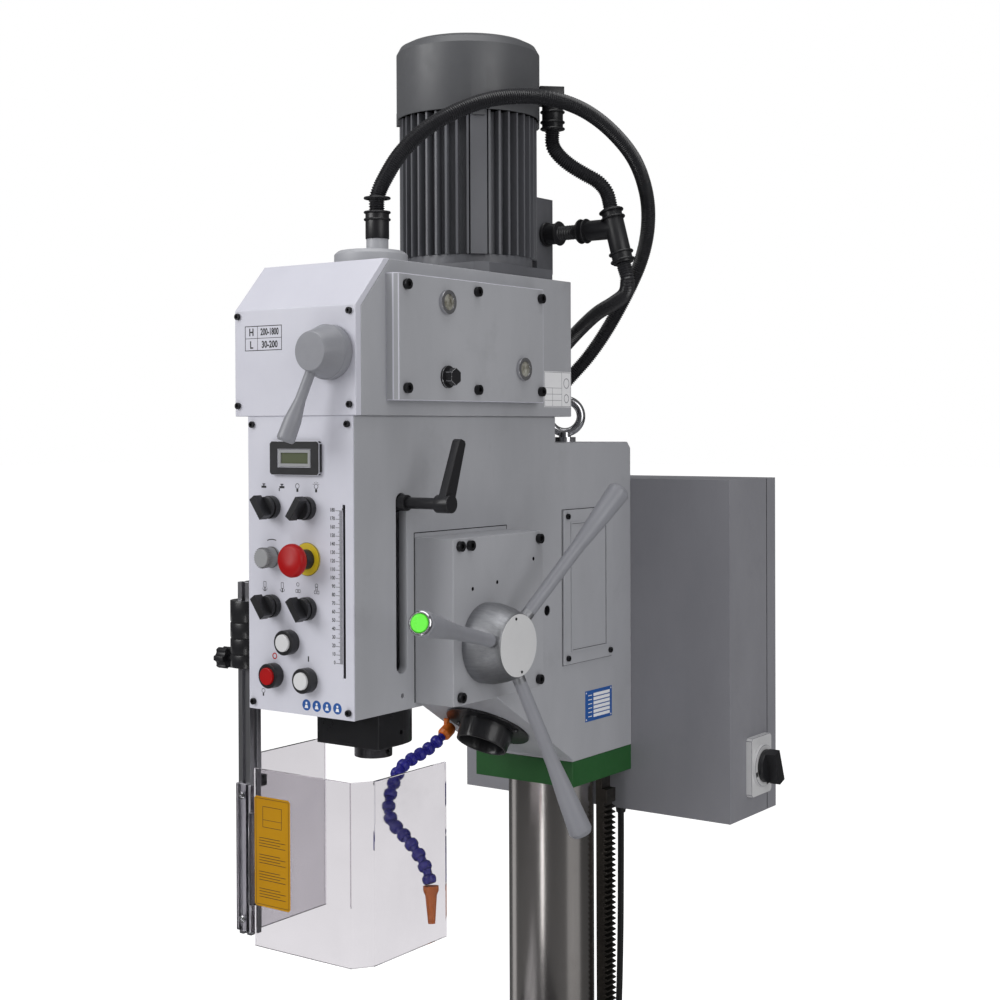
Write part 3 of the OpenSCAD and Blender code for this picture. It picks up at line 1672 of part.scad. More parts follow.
module hose_upper() {
  seat = -head_floor - slope_rise * (nipple_at[1] + nipple_r - slope_start) - free;
  color("orange")
    head() {
      bar_z(nipple_at[0], nipple_at[1], hose_course[0][2] - 4, seat, nipple_r);
      along(hose_course[0], hose_course[1])
        translate([0, 0, -8])
          rotate_extrude()
            polygon([[3, 0], [8, 0], [9.5, 4], [9.5, 18], [7, 22], [3, 22]]);
    }
  color("royalblue")
    head()
      for (i = [1:hose_split - 1])
        along(hose_course[i], hose_course[i + 1])
          hose_bead(3);
}

module hose_lower() {
  n = len(hose_course) - 1;
  color("royalblue")
    head()
      for (i = [hose_split:n - 1])
        along(hose_course[i], hose_course[i + 1])
          hose_bead(i == hose_split ? hose_step - bead_l - bend_room : 3);
  color("orange")
    head()
      along(hose_course[n], nozzle_tip)
        rotate_extrude()
          polygon([[3, 0], [10, 0], [10, 6], [7.5, 12], [4.6, 47], [3, 47]]);
}

// Glands, T-fitting and strain relief
module gland(d) {
  cylinder(r = d / 2 + 4.5, h = 12, $fn = 6);
  translate([0, 0, 12])
    cylinder(r = d / 2 + 4, h = 13);
}

module conduit_fittings() {
  d = conduit_d;
  color("black") {
    head() {
      bar_z(8, spindle_y + 3, gearbox_top + 36, gearbox_top + 68.5, 15);
      translate([-14, -2, rear_top])
        gland(d);
      translate([-52, 6, rear_top])
        gland(d);
      translate([0, motor_y, cowl_z + 26])
        rotate(45)
          block([cowl_r + free, -13, 0], [cowl_r + 34, 13, 24]);
      bar_z(83, -115, 686, cowl_z + 27, 14.5);
      bar_x(50, 76, tee[2][1], tee[2][2], 14.5);
      bar_x(108, tee[2][0], tee[2][1], tee[2][2], 14);
      along(tee[0], tee[1])
        cylinder(r = 14, h = norm(tee[1] - tee[0]));
    }
    translate([cable_exit[0], cable_exit[1], cable_route[0][2]])
      cylinder(r1 = 7, r2 = 11, h = z0 + cabinet_z0 - cable_route[0][2]);
  }
}

module conduits() {
  side = [0.8, -0.6, 0];
  color("dimgray")
    head() {
      corrugated(conduit_a, 92, conduit_d, side);
      corrugated(conduit_b, 16, conduit_d, [0, 1, 0]);
      corrugated(conduit_c, 5, conduit_d, [0, 1, 0]);
      corrugated(conduit_d_route, 36, conduit_d, [0.5, -0.8, 0]);
    }
}

// Lifting eye with its ring facing the operator's right
module eye_bolt() {
  color("silver")
    head()
      translate([0, 40, rear_top]) {
        cylinder(r = 16, h = 7);
        bar_z(0, 0, 0, 14, 9);
        translate([0, 0, 38])
          rotate([90, 0, 35])
            rotate_extrude()
              translate([24, 0])
                circle(r = 6.5);
      }
}

// Mains cable: the free drop, the coil on the floor and the plug
coil_steps = 24;
plug_lead = 50;

coil_half = coil_turns * 180;
function coil_radius(a) = coil_r + coil_pitch / 360
  * (a < coil_half ? coil_half / 2 - a : a - coil_half * 1.5);
function coil_rise(a) = a < coil_half - 90 ? 0
  : a > coil_half + 90 ? coil_step : coil_step * (1 - cos(a - coil_half + 90)) / 2;
function coil_point(a) = [coil_centre[0] + coil_radius(a) * cos(a),
  coil_centre[1] + coil_radius(a) * sin(a), cable_end[2] + coil_rise(a)];
cable_end = cable_route[len(cable_route) - 1];
coil_centre = [cable_end[0] - coil_radius(0), cable_end[1] + 4];
coil_end = coil_point(coil_turns * 360);
coil_course = concat([cable_end],
  [for (i = [0:coil_turns * coil_steps]) coil_point(i * 360 / coil_steps)],
  [coil_end + [0, plug_lead / 2, -1], coil_end + [0, plug_lead, -1]]);
coil_gap = min([for (i = [0:len(coil_course) - 1])
  min([for (j = [i + 12:1:max(i + 12, len(coil_course) - 1)])
    j < len(coil_course) ? norm(coil_course[i] - coil_course[j]) : 999])]) - cable_d;
echo(coil_gap_mm = coil_gap, drop_mm = course_length(cable_route),
  coil_mm = course_length(coil_course));

module mains_cable() {
  fine = fine_course(cable_route);
  color("black")
    tube(steps(fine, 46), cable_d / 2, 8, [1, 0, 0]);
}

module cable_coil() {
  color("black")
    tube(coil_course, cable_d / 2, 6, [0, 0, 1]);
}

module mains_plug() {
  last = coil_course[len(coil_course) - 1];
  before = coil_course[len(coil_course) - 2];
  color("gray")
    along(last, last + (last - before)) {
      cylinder(r1 = 7, r2 = 13, h = 34);
      translate([0, 0, 33])
        cylinder(r = 15, h = 60);
    }
}

base_plate();
column_foot();
column();
column_rack();
table_arm();
arm_clamp_lever();
lift_pinion();
lift_crank();
work_table();
head_casting();
column_collar();
gearbox_housing();
gearbox_covers();
cover_screws();
oil_fittings();
small_covers();
quill();
spindle();
drive_sleeve();
counter_shaft();
sliding_gears();
motor_rotor();
motor_body();
fan_cowl();
bearings();
selector_lever();
control_panel();
switch_bezels();
coolant_switch();
light_switch();
mode_switch();
range_switch();
speed_knob();
stop_button();
start_button();
off_button();
return_button();
feed_box();
feed_hub();
clutch_button();
depth_stop();
depth_clamp_lever();
quill_clamp();
work_lamp();
cabinet_body();
cabinet_door();
main_switch_knob();
guard_sleeve();
guard_knob();
guard_rail();
guard_shield();
hose_upper();
hose_lower();
conduit_fittings();
conduits();
eye_bolt();
mains_cable();
cable_coil();
mains_plug();
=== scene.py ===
import json
import math

import bmesh
import bpy
from mathutils import Matrix, Vector

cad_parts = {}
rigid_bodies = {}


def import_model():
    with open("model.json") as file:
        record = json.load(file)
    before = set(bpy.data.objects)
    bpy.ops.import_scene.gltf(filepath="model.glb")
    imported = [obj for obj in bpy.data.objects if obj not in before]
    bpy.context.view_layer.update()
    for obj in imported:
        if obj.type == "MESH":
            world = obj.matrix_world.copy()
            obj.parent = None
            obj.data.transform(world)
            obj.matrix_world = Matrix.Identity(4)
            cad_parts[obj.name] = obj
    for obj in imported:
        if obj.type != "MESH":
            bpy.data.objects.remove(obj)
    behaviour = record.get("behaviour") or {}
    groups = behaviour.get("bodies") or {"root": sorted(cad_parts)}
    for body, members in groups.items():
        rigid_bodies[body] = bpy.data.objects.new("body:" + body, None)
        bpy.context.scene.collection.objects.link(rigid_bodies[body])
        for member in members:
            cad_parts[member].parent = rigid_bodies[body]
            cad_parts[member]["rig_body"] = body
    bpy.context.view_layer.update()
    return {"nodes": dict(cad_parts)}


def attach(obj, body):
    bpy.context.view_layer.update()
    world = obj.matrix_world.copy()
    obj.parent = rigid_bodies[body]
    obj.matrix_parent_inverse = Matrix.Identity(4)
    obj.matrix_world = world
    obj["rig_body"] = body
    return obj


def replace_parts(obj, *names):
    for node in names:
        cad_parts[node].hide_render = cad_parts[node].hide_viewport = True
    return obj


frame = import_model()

scene = bpy.context.scene

# Main places in millimetres; heights on the head count from the depth scale's zero
HEAD = 1330                  # height of that zero above the floor
HEAD_SIDE = 84.5             # x of the head's right side
COVER_FACE = 87.5            # x of the access cover's face
PANEL_FACE = -540            # y of the control panel's face
PLATE_FACE = -542            # y of the gearbox plate's face
SHIELD_FACE = -519           # y of the guard's front pane
MOTOR_AXIS = (0, -198)       # x and y
FEED_SHAFT = (-359, 11)      # y and z
OIL_PLUG = (-387.6, 339.8)   # y and z
SPEED_KNOB = (-45, 121)      # x and z
STOP_BUTTON = (13, 121)      # x and z
SIDE_HOLE = (-134, 26)       # y and z
SMALL_HOLES = ((-385.7, 79.7), (-334, 84), (-254, 108))


def at(x, y, z, base=HEAD):
    """A point in metres from millimetres, its height counted from the depth scale's zero."""
    return Vector((x, y, z + base)) / 1000


def off_axis(a, b, centre):
    """How far a point lies from an axis that is seen end on."""
    return math.hypot(a - centre[0], b - centre[1])


# Camera

def place_camera(place, yaw, pitch, roll, focal, shift):
    """The camera that took the photograph: its place in metres, its angles in degrees."""
    yaw, pitch, roll = (math.radians(angle) for angle in (yaw, pitch, roll))
    ahead = Vector((-math.sin(yaw), math.cos(yaw), 0))
    right = Vector((math.cos(yaw), math.sin(yaw), 0))
    sight = ahead * math.cos(pitch) - Vector((0, 0, math.sin(pitch)))
    above = Vector((0, 0, math.cos(pitch))) + ahead * math.sin(pitch)
    side = right * math.cos(roll) + above * math.sin(roll)
    top = above * math.cos(roll) - right * math.sin(roll)
    lens = bpy.data.cameras.new("camera")
    lens.lens, lens.sensor_width, lens.shift_y = focal, 36, shift
    camera = bpy.data.objects.new("camera", lens)
    camera.matrix_world = Matrix.Translation(place) @ Matrix((side, top, -sight)).transposed().to_4x4()
    scene.collection.objects.link(camera)
    scene.camera = camera


place_camera((1.3268, -1.9852, 1.6056), yaw=35.517, pitch=0.587, roll=-0.228, focal=58.56, shift=-0.0545)
scene.view_settings.view_transform = "Standard"


# Finishes

def tone(r, g, b):
    """A colour as the eye reads it, 0 to 255, turned into light."""
    return tuple((c / 255 / 12.92) if c < 11 else ((c / 255 + 0.055) / 1.055) ** 2.4
                 for c in (r, g, b)) + (1,)


def wire(tree, kind, inputs=None, **settings):
    """One node; its inputs are values or the sockets that they come from."""
    node = tree.nodes.new(kind)
    for key, value in settings.items():
        setattr(node, key, value)
    for key, value in (inputs or {}).items():
        if isinstance(value, bpy.types.NodeSocket):
            tree.links.new(value, node.inputs[key])
        else:
            node.inputs[key].default_value = value
    return node


def new_tree(name, kind, takes, gives):
    """A node group with named sockets; returns it with its input and output nodes."""
    tree = bpy.data.node_groups.new(name, kind)
    for label, socket, value in takes:
        made = tree.interface.new_socket(label, in_out="INPUT", socket_type="NodeSocket" + socket)
        if value is not None:
            made.default_value = value
    for label, socket in gives:
        tree.interface.new_socket(label, in_out="OUTPUT", socket_type="NodeSocket" + socket)
    return tree, tree.nodes.new("NodeGroupInput").outputs, tree.nodes.new("NodeGroupOutput").inputs


def stretched(tree, source):
    place = wire(tree, "ShaderNodeTexCoord").outputs["Object"]
    return place, wire(tree, "ShaderNodeVectorMath", {0: place, 1: source}, operation="MULTIPLY").outputs[0]


def noise(tree, vector, scale, detail=4.0, rough=0.5):
    return wire(tree, "ShaderNodeTexNoise", {
        "Vector": vector, "Scale": scale, "Detail": detail, "Roughness": rough}).outputs["Fac"]


def remap(tree, value, low, high, to_low=0.0, to_high=1.0):
    return wire(tree, "ShaderNodeMapRange", {
        "Value": value, "From Min": low, "From Max": high, "To Min": to_low,
        "To Max": to_high}).outputs["Result"]


def blended(tree, factor, a, b):
    return wire(tree, "ShaderNodeMix", {0: factor, 6: a, 7: b}, data_type="RGBA").outputs[2]


SURFACE = [("Color", "Color"), ("Roughness", "Float"), ("Height", "Float")]


def make_coat():
    """Paint and moulded plastic: clouds between two tones, smears of handling, fine skin."""
    tree, take, give = new_tree("coat", "ShaderNodeTree", [
        ("Tone A", "Color", None), ("Tone B", "Color", None), ("Smear", "Color", None),
        ("Clouds", "Float", 6.0), ("Grain", "Vector", (1, 1, 1)), ("Skin", "Float", 700.0),
        ("Smearing", "Float", 0.3), ("Smooth", "Float", 0.3), ("Dull", "Float", 0.5)], SURFACE)
    place, along = stretched(tree, take["Grain"])
    clouds = remap(tree, noise(tree, along, take["Clouds"], 5.0, 0.62), 0.32, 0.68)
    smears = remap(tree, noise(tree, place, 9.0, 9.0, 0.72), 0.56, 0.74)
    wipes = wire(tree, "ShaderNodeMath", {0: smears, 1: take["Smearing"]}, operation="MULTIPLY").outputs[0]
    body = blended(tree, clouds, take["Tone A"], take["Tone B"])
    tree.links.new(blended(tree, wipes, body, take["Smear"]), give["Color"])
    skin = noise(tree, along, take["Skin"], 3.0, 0.55)
    spread = remap(tree, noise(tree, place, 34.0, 6.0, 0.7), 0.3, 0.7)
    gloss = wire(tree, "ShaderNodeMix", {0: spread, 2: take["Smooth"], 3: take["Dull"]}).outputs[0]
    tree.links.new(gloss, give["Roughness"])
    tree.links.new(skin, give["Height"])
    return tree


def make_machined():
    """Bare metal: tool lines drawn out along the grain, stains and handled patches."""
    tree, take, give = new_tree("machined", "ShaderNodeTree", [
        ("Tone A", "Color", None), ("Tone B", "Color", None), ("Stain", "Color", None),
        ("Grain", "Vector", (1, 1, 1)), ("Staining", "Float", 0.3),
        ("Smooth", "Float", 0.2), ("Dull", "Float", 0.4)], SURFACE)
    place, along = stretched(tree, take["Grain"])
    lines = noise(tree, along, 14.0, 8.0, 0.7)
    drawn = remap(tree, lines, 0.3, 0.7)
    patches = remap(tree, noise(tree, place, 11.0, 8.0, 0.7), 0.5, 0.75)
    stains = wire(tree, "ShaderNodeMath", {0: patches, 1: take["Staining"]}, operation="MULTIPLY").outputs[0]
    body = blended(tree, drawn, take["Tone A"], take["Tone B"])
    tree.links.new(blended(tree, stains, body, take["Stain"]), give["Color"])
    gloss = wire(tree, "ShaderNodeMix", {0: drawn, 2: take["Smooth"], 3: take["Dull"]}).outputs[0]
    tree.links.new(gloss, give["Roughness"])
    tree.links.new(lines, give["Height"])
    return tree


COAT, MACHINED = make_coat(), make_machined()
FINISH = {}


def finish(name, group, bump, depth=0.0002, settings=None, shader=None):
    """A material named after a finish: its group colours it, roughens it and gives it relief."""
    material = bpy.data.materials.new(name)
    material.use_nodes = True
    tree = material.node_tree
    skin = tree.nodes["Principled BSDF"]
    surface = wire(tree, "ShaderNodeGroup", node_tree=group)
    for key, value in (settings or {}).items():
        surface.inputs[key].default_value = value
    relief = wire(tree, "ShaderNodeBump", {
        "Height": surface.outputs["Height"], "Strength": bump, "Distance": depth})
    tree.links.new(surface.outputs["Color"], skin.inputs["Base Color"])
    tree.links.new(surface.outputs["Roughness"], skin.inputs["Roughness"])
    tree.links.new(relief.outputs["Normal"], skin.inputs["Normal"])
    for key, value in (shader or {}).items():
        skin.inputs[key].default_value = value
    FINISH[name] = material
    return material


def paint(name, a, b, smear, smooth, dull, clouds=6.0, grain=(1, 1, 1), skin=700.0, smearing=0.3,
          bump=0.12, **shader):
    return finish(name, COAT, bump, settings={
        "Tone A": tone(*a), "Tone B": tone(*b), "Smear": tone(*smear), "Clouds": clouds,
        "Grain": grain, "Skin": skin, "Smearing": smearing, "Smooth": smooth, "Dull": dull},
        shader={key.replace("_", " "): value for key, value in shader.items()})


def metal(name, a, b, stain, smooth, dull, grain, staining=0.3, bump=0.1, metallic=1.0):
    return finish(name, MACHINED, bump, settings={
        "Tone A": tone(*a), "Tone B": tone(*b), "Stain": tone(*stain), "Grain": grain,
        "Staining": staining, "Smooth": smooth, "Dull": dull}, shader={"Metallic": metallic})


paint("head_paint", (171, 172, 177), (160, 161, 166), (143, 143, 147), 0.36, 0.52,
      grain=(1, 1, 0.35), smearing=0.35)
paint("plate_paint", (206, 206, 216), (198, 198, 209), (189, 189, 199), 0.34, 0.46, smearing=0.2)
paint("cabinet_paint", (138, 138, 144), (128, 128, 134), (114, 114, 121), 0.38, 0.52,
      grain=(1, 1, 0.4))
paint("green_paint", (30, 90, 38), (25, 78, 32), (21, 62, 27), 0.4, 0.56)
paint("motor_paint", (93, 94, 97), (83, 84, 87), (112, 112, 114), 0.34, 0.5, smearing=0.4)
paint("fin_paint", (104, 105, 110), (89, 90, 95), (116, 116, 120), 0.36, 0.54,
      grain=(1, 1, 0.2), smearing=0.4)
paint("lever_paint", (140, 141, 148), (131, 132, 138), (112, 112, 118), 0.32, 0.46)
paint("black_plastic", (34, 34, 37), (27, 27, 30), (56, 56, 60), 0.3, 0.48, skin=1500.0)
paint("black_gloss", (32, 32, 35), (24, 24, 27), (52, 52, 58), 0.24, 0.4, bump=0.2, Coat_Weight=0.2)
paint("conduit_plastic", (52, 52, 55), (40, 40, 43), (70, 70, 73), 0.2, 0.34)
paint("black_rubber", (30, 30, 31), (23, 23, 24), (52, 52, 54), 0.5, 0.7)
paint("red_plastic", (172, 3, 6), (156, 2, 5), (118, 2, 4), 0.34, 0.5, smearing=0.35,
      Specular_IOR_Level=0.3)
paint("yellow_plastic", (222, 196, 40), (209, 182, 32), (170, 146, 28), 0.35, 0.5)
paint("white_plastic", (212, 212, 213), (202, 202, 204), (184, 184, 187), 0.28, 0.42)
paint("grey_plastic", (150, 151, 153), (139, 140, 142), (116, 117, 119), 0.42, 0.58)
paint("blue_plastic", (48, 46, 152), (38, 36, 132), (62, 60, 172), 0.24, 0.4)
paint("orange_plastic", (222, 118, 42), (208, 104, 34), (170, 82, 26), 0.3, 0.45)
# The clutch button's green has a small emission, so it glows though it holds no lamp: a painted glow.
paint("green_plastic", (100, 226, 62), (88, 212, 52), (70, 180, 44), 0.2, 0.34,
      Emission_Color=tone(96, 232, 60), Emission_Strength=0.22)
paint("ink", (28, 28, 31), (20, 20, 23), (52, 52, 56), 0.5, 0.65)
paint("ruled_grey", (150, 150, 156), (140, 140, 146), (166, 166, 172), 0.5, 0.65)
paint("white_print", (232, 232, 234), (224, 224, 228), (206, 206, 210), 0.45, 0.6)
paint("red_print", (186, 38, 40), (174, 32, 34), (140, 30, 32), 0.45, 0.6)
paint("blue_print", (26, 84, 158), (22, 74, 144), (40, 98, 168), 0.4, 0.55)
paint("yellow_label", (182, 132, 2), (172, 123, 2), (150, 106, 3), 0.36, 0.5, Specular_IOR_Level=0.25)
paint("screen", (92, 98, 76), (84, 90, 70), (72, 78, 62), 0.12, 0.22, Coat_Weight=0.6)
paint("copper_wire", (150, 84, 44), (136, 72, 38), (96, 52, 30), 0.3, 0.45, Metallic=0.8)
metal("cast_iron", (138, 138, 140), (116, 116, 119), (92, 86, 80), 0.3, 0.48, (1, 30, 1), 0.35)
metal("steel", (182, 178, 176), (168, 164, 162), (140, 134, 128), 0.16, 0.26, (1, 1, 0.05), 0.3)
metal("dark_steel", (92, 88, 84), (70, 67, 64), (112, 106, 98), 0.34, 0.52, (3, 3, 12), 0.4)
metal("black_oxide", (44, 44, 47), (32, 32, 35), (66, 65, 66), 0.3, 0.46, (8, 8, 8), 0.4, 0.1, 0.6)
metal("aluminium", (170, 171, 175), (152, 153, 157), (128, 129, 133), 0.44, 0.6, (1, 20, 20), 0.3)
metal("rail_aluminium", (178, 178, 182), (158, 158, 163), (138, 138, 144), 0.28, 0.42, (24, 24, 1), 0.25)
metal("chrome", (214, 214, 217), (192, 192, 196), (150, 150, 155), 0.1, 0.24, (6, 6, 6), 0.3)
paint("clear_plastic", (206, 203, 207), (198, 195, 199), (186, 184, 188), 0.02, 0.07, skin=60.0,
      bump=0.03, smearing=0.5, Transmission_Weight=1.0, IOR=1.22)
paint("oil_glass", (186, 185, 176), (84, 80, 66), (226, 226, 222), 0.04, 0.1, clouds=110.0,
      bump=0.3, Coat_Weight=1.0)
paint("lamp_glass", (206, 208, 212), (176, 178, 184), (232, 233, 236), 0.06, 0.14, clouds=80.0,
      bump=0.4, Coat_Weight=1.0)


# Pieces

def settle(obj, body):
    """Links a finished piece and lets it ride on its body."""
    if obj.name not in scene.collection.objects:
        scene.collection.objects.link(obj)
    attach(obj, body)
    return obj


def mark_curved(bm):
    """Faces of curved walls, which turn a little into a neighbour, are smooth; plane ones stay flat."""
    for face in bm.faces:
        face.smooth = any(len(edge.link_faces) == 2 and 0.005 < edge.calc_face_angle(0) < 0.47
                          for edge in face.edges)


def crisp(bm, angle=27):
    """Crisp edges where the faces turn by more than the angle."""
    for edge in bm.edges:
        edge.smooth = len(edge.link_faces) != 2 or edge.calc_face_angle(0) < math.radians(angle)


def ease_edges(bm, width):
    """Rounds the outward edges, one closed chain of edges at a time, so that each keeps its own room."""
    left = {e for e in bm.edges if len(e.link_faces) == 2 and e.is_convex
            and e.calc_face_angle(0) > math.radians(35)}
    while left:
        chain, open_ends = set(), [left.pop()]
        while open_ends:
            edge = open_ends.pop()
            chain.add(edge)
            for vert in edge.verts:
                for near in vert.link_edges:
                    if near in left:
                        left.discard(near)
                        open_ends.append(near)
        bmesh.ops.bevel(bm, geom=list(chain), offset=width, offset_type="OFFSET", segments=2,
                        profile=0.5, affect="EDGES", clamp_overlap=True)
        left = {e for e in left if e.is_valid}


def dress(node, *finishes, rule=None, ease=0.8):
    """The CAD node's own shape with its seams closed, its edges eased by so many millimetres and
    its finishes put on face by face: rule(x, y, z, normal) gives a finish's place in the list."""
    cad = frame["nodes"][node]
    mesh = bpy.data.meshes.new(node + "_dressed")
    for name in finishes:
        mesh.materials.append(FINISH[name])
    bm = bmesh.new()
    bm.from_mesh(cad.data)
    bmesh.ops.remove_doubles(bm, verts=bm.verts, dist=2e-6)
    bmesh.ops.recalc_face_normals(bm, faces=bm.faces)
    for face in bm.faces:
        x, y, z = face.calc_center_median() * 1000
        face.material_index = rule(x, y, z - HEAD, face.normal) if rule else 0
    if ease:
        bmesh.ops.dissolve_limit(bm, angle_limit=math.radians(0.4), verts=bm.verts, edges=bm.edges,
                                 delimit={"MATERIAL"})
        mark_curved(bm)
        ease_edges(bm, ease / 1000)
    else:
        mark_curved(bm)
    crisp(bm)
    bm.to_mesh(mesh)
    bm.free()
    piece = bpy.data.objects.new(mesh.name, mesh)
    settle(piece, cad["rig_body"])
    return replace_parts(piece, node)


def keep(node, name):
    """A CAD node inside the machine stays as it is and takes a finish."""
    mesh = frame["nodes"][node].data
    mesh.materials.clear()
    mesh.materials.append(FINISH[name])


# Frame, column and table
dress("base_plate", "head_paint", "cast_iron", rule=lambda x, y, z, n: n.z > 0.9, ease=2)
dress("column_foot", "head_paint", "steel", rule=lambda x, y, z, n: n.z > 0.9, ease=1.5)
dress("column", "steel", ease=0)
dress("column_rack", "dark_steel", ease=0.3)
dress("column_collar", "green_paint", ease=1)
dress("table_arm", "head_paint", ease=1.5)
dress("arm_clamp_lever", "black_oxide", ease=0.5)
dress("lift_pinion", "dark_steel", ease=0)
dress("lift_crank", "lever_paint", "black_plastic", rule=lambda x, y, z, n: x > 215, ease=0.5)
dress("work_table", "cast_iron", "head_paint", rule=lambda x, y, z, n: z + HEAD < 655, ease=1.5)

# Head and gearbox
# Walls and floor of the blind hole in the right side take black_plastic: painted shade in the recess.
dress("head_casting", "head_paint", "black_plastic",
      rule=lambda x, y, z, n: 70 < x < HEAD_SIDE - 0.1 and off_axis(y, z, SIDE_HOLE) < 7.2, ease=1.2)
dress("gearbox_housing", "head_paint", ease=1.2)
dress("gearbox_covers", "plate_paint", "head_paint", rule=lambda x, y, z, n: x > 91.5, ease=1)
dress("small_covers", "head_paint", ease=0.8)
dress("cover_screws", "black_oxide", ease=0.3)


def fitting_finish(x, y, z, n):
    """Chrome rings, glass panes in them, and the black hexagon plug."""
    if off_axis(y, z, OIL_PLUG) < 14.6:
        return 2
    return 1 if n.x > 0.9 and 110 < x < 111 else 0


dress("oil_fittings", "chrome", "oil_glass", "black_plastic", rule=fitting_finish, ease=0.4)

# Motor
dress("motor_body", "fin_paint", "copper_wire",
      rule=lambda x, y, z, n: 515 < z < 660 and off_axis(x, y, MOTOR_AXIS) < 71.9, ease=0.5)
dress("fan_cowl", "motor_paint", ease=1)
dress("eye_bolt", "chrome", ease=0)


# Panel
def panel_finish(x, y, z, n):
    """Painted plate, the black frame of the display, and its screen."""
    if y > PANEL_FACE - 0.01:
        return 0
    return 2 if abs(y - PANEL_FACE + 3.6) < 0.05 else 1


def bezel_finish(x, y, z, n):
    """Black collars, the grey one of the speed knob and the yellow ring of the emergency stop."""
    if off_axis(x, z, SPEED_KNOB) < 13.5:
        return 1
    return 2 if y > PANEL_FACE - 2.5 and 11.9 < off_axis(x, z, STOP_BUTTON) < 20.5 else 0


dress("control_panel", "plate_paint", "black_plastic", "screen", rule=panel_finish, ease=0.5)
dress("switch_bezels", "black_plastic", "grey_plastic", "yellow_plastic", rule=bezel_finish, ease=0.5)
for name in ("coolant_switch", "light_switch", "mode_switch", "range_switch"):
    dress(name, "black_plastic", ease=1)
dress("speed_knob", "grey_plastic", ease=0.8)
dress("stop_button", "red_plastic", "black_plastic",
      rule=lambda x, y, z, n: off_axis(x, z, STOP_BUTTON) < 7.3 and y > PANEL_FACE - 21, ease=0.8)
dress("start_button", "white_plastic", ease=0.8)
dress("return_button", "white_plastic", ease=0.8)
dress("off_button", "red_plastic", ease=0.8)


# Feed and depth stop
def feed_box_finish(x, y, z, n):
    """Painted box, the bare spring inside it, and painted shade in its three small holes."""
    if 88 < x < 109 and off_axis(y, z, FEED_SHAFT) < 41:
        return 1
    return 2 if 137 < x < 143.4 and any(off_axis(y, z, hole) < 2.7 for hole in SMALL_HOLES) else 0


dress("feed_box", "head_paint", "steel", "black_plastic", rule=feed_box_finish, ease=1)
dress("feed_hub", "aluminium", "lever_paint",
      rule=lambda x, y, z, n: off_axis(y, z, FEED_SHAFT) > 50.5, ease=0.5)
dress("clutch_button", "green_plastic", ease=0.8)
dress("depth_stop", "black_plastic", ease=0.5)
dress("depth_clamp_lever", "black_plastic", ease=0.5)
dress("selector_lever", "lever_paint", "steel",
      rule=lambda x, y, z, n: y > PLATE_FACE - 0.5, ease=0.8)

# Quill, spindle and lamp
dress("quill", "steel", "black_oxide", rule=lambda x, y, z, n: z < -100, ease=0)
dress("spindle", "steel", "black_oxide", rule=lambda x, y, z, n: z < -95, ease=0.4)
dress("quill_clamp", "black_gloss", ease=1)
dress("work_lamp", "black_gloss", ease=0.5)


# Cabinet
def cabinet_finish(x, y, z, n):
    """Painted box, the main switch's white plate, and black switchgear inside."""
    if x > 248.02:
        return 1
    return 2 if 98.5 < y < 169 and -218 < x < 60 and -182 < z < 36 else 0


dress("cabinet_body", "cabinet_paint", "white_plastic", "black_plastic", rule=cabinet_finish, ease=0.6)
dress("cabinet_door", "cabinet_paint", "black_plastic",
      rule=lambda x, y, z, n: y > 236.6, ease=0.6)
dress("main_switch_knob", "black_plastic", ease=1)


# Guard
def rail_finish(x, y, z, n):
    """Bare rail, the painted bracket behind it, and the clear side pane with its leaf."""
    if y < SHIELD_FACE + 3.98 or (x > -114.6 and y > -493.5):
        return 2
    return 1 if y > -494.95 else 0


dress("guard_sleeve", "black_gloss", ease=0.6)
dress("guard_knob", "black_plastic", ease=0.8)
dress("guard_rail", "rail_aluminium", "lever_paint", "clear_plastic", rule=rail_finish, ease=0.4)
dress("guard_shield", "clear_plastic", ease=0.5)

# Inside the gearbox and the motor
for name in ("drive_sleeve", "counter_shaft", "sliding_gears", "motor_rotor", "bearings"):
    keep(name, "steel")


# Courses

def fine_course(route, base=HEAD):
    """A smooth course through the chosen points, eight steps from each to the next, in metres."""
    points = [at(*p, base=base) for p in route]
    last = len(points) - 1
    course = []
    for i in range(last):
        a, b, c, d = (points[max(i - 1, 0)], points[i], points[i + 1], points[min(i + 2, last)])
        for k in range(8):
            t = k / 8
            course.append(0.5 * (2 * b + (c - a) * t + (2 * a - 5 * b + 4 * c - d) * t * t
                                 + (3 * b - a - 3 * c + d) * t * t * t))
    return course + [points[last]]


def length_of(course):
    return sum((b - a).length for a, b in zip(course, course[1:]))


def even_course(course, steps):
    """The same course cut into equal steps."""
    total, out, i, gone = length_of(course), [course[0]], 0, 0.0
    for k in range(1, steps):
        goal = total * k / steps
        while gone + (course[i + 1] - course[i]).length < goal:
            gone += (course[i + 1] - course[i]).length
            i += 1
        part = (goal - gone) / (course[i + 1] - course[i]).length
        out.append(course[i].lerp(course[i + 1], part))
    return out + [course[-1]]


def line_object(name, course):
    curve = bpy.data.curves.new(name, "CURVE")
    curve.dimensions = "3D"
    line = curve.splines.new("POLY")
    line.points.add(len(course) - 1)
    for point, place in zip(line.points, course):
        point.co = (*place, 1)
    obj = bpy.data.objects.new(name, curve)
    scene.collection.objects.link(obj)
    return obj


# Segmented coolant hose
hose_route = [
    (-61, -170, -148), (-61, -188, -157), (-63, -204, -165), (-64, -220, -171), (-66, -238, -175),
    (-67, -256, -180), (-67, -272, -187), (-58, -300, -206), (-50, -317, -228), (-38, -325, -243),
    (-10, -332, -256), (19, -338, -276), (37, -343, -296), (43, -345, -310)]
NOZZLE_TIP = (48, -350, -357)
HOSE_BEADS = 17
hose = [p * 1000 - Vector((0, 0, HEAD)) for p in even_course(fine_course(hose_route), HOSE_BEADS)]


def past(x, y, z, start, towards):
    """How far a point lies beyond the start, along the way towards another point."""
    return (Vector((x, y, z)) - start).dot((towards - start).normalized())


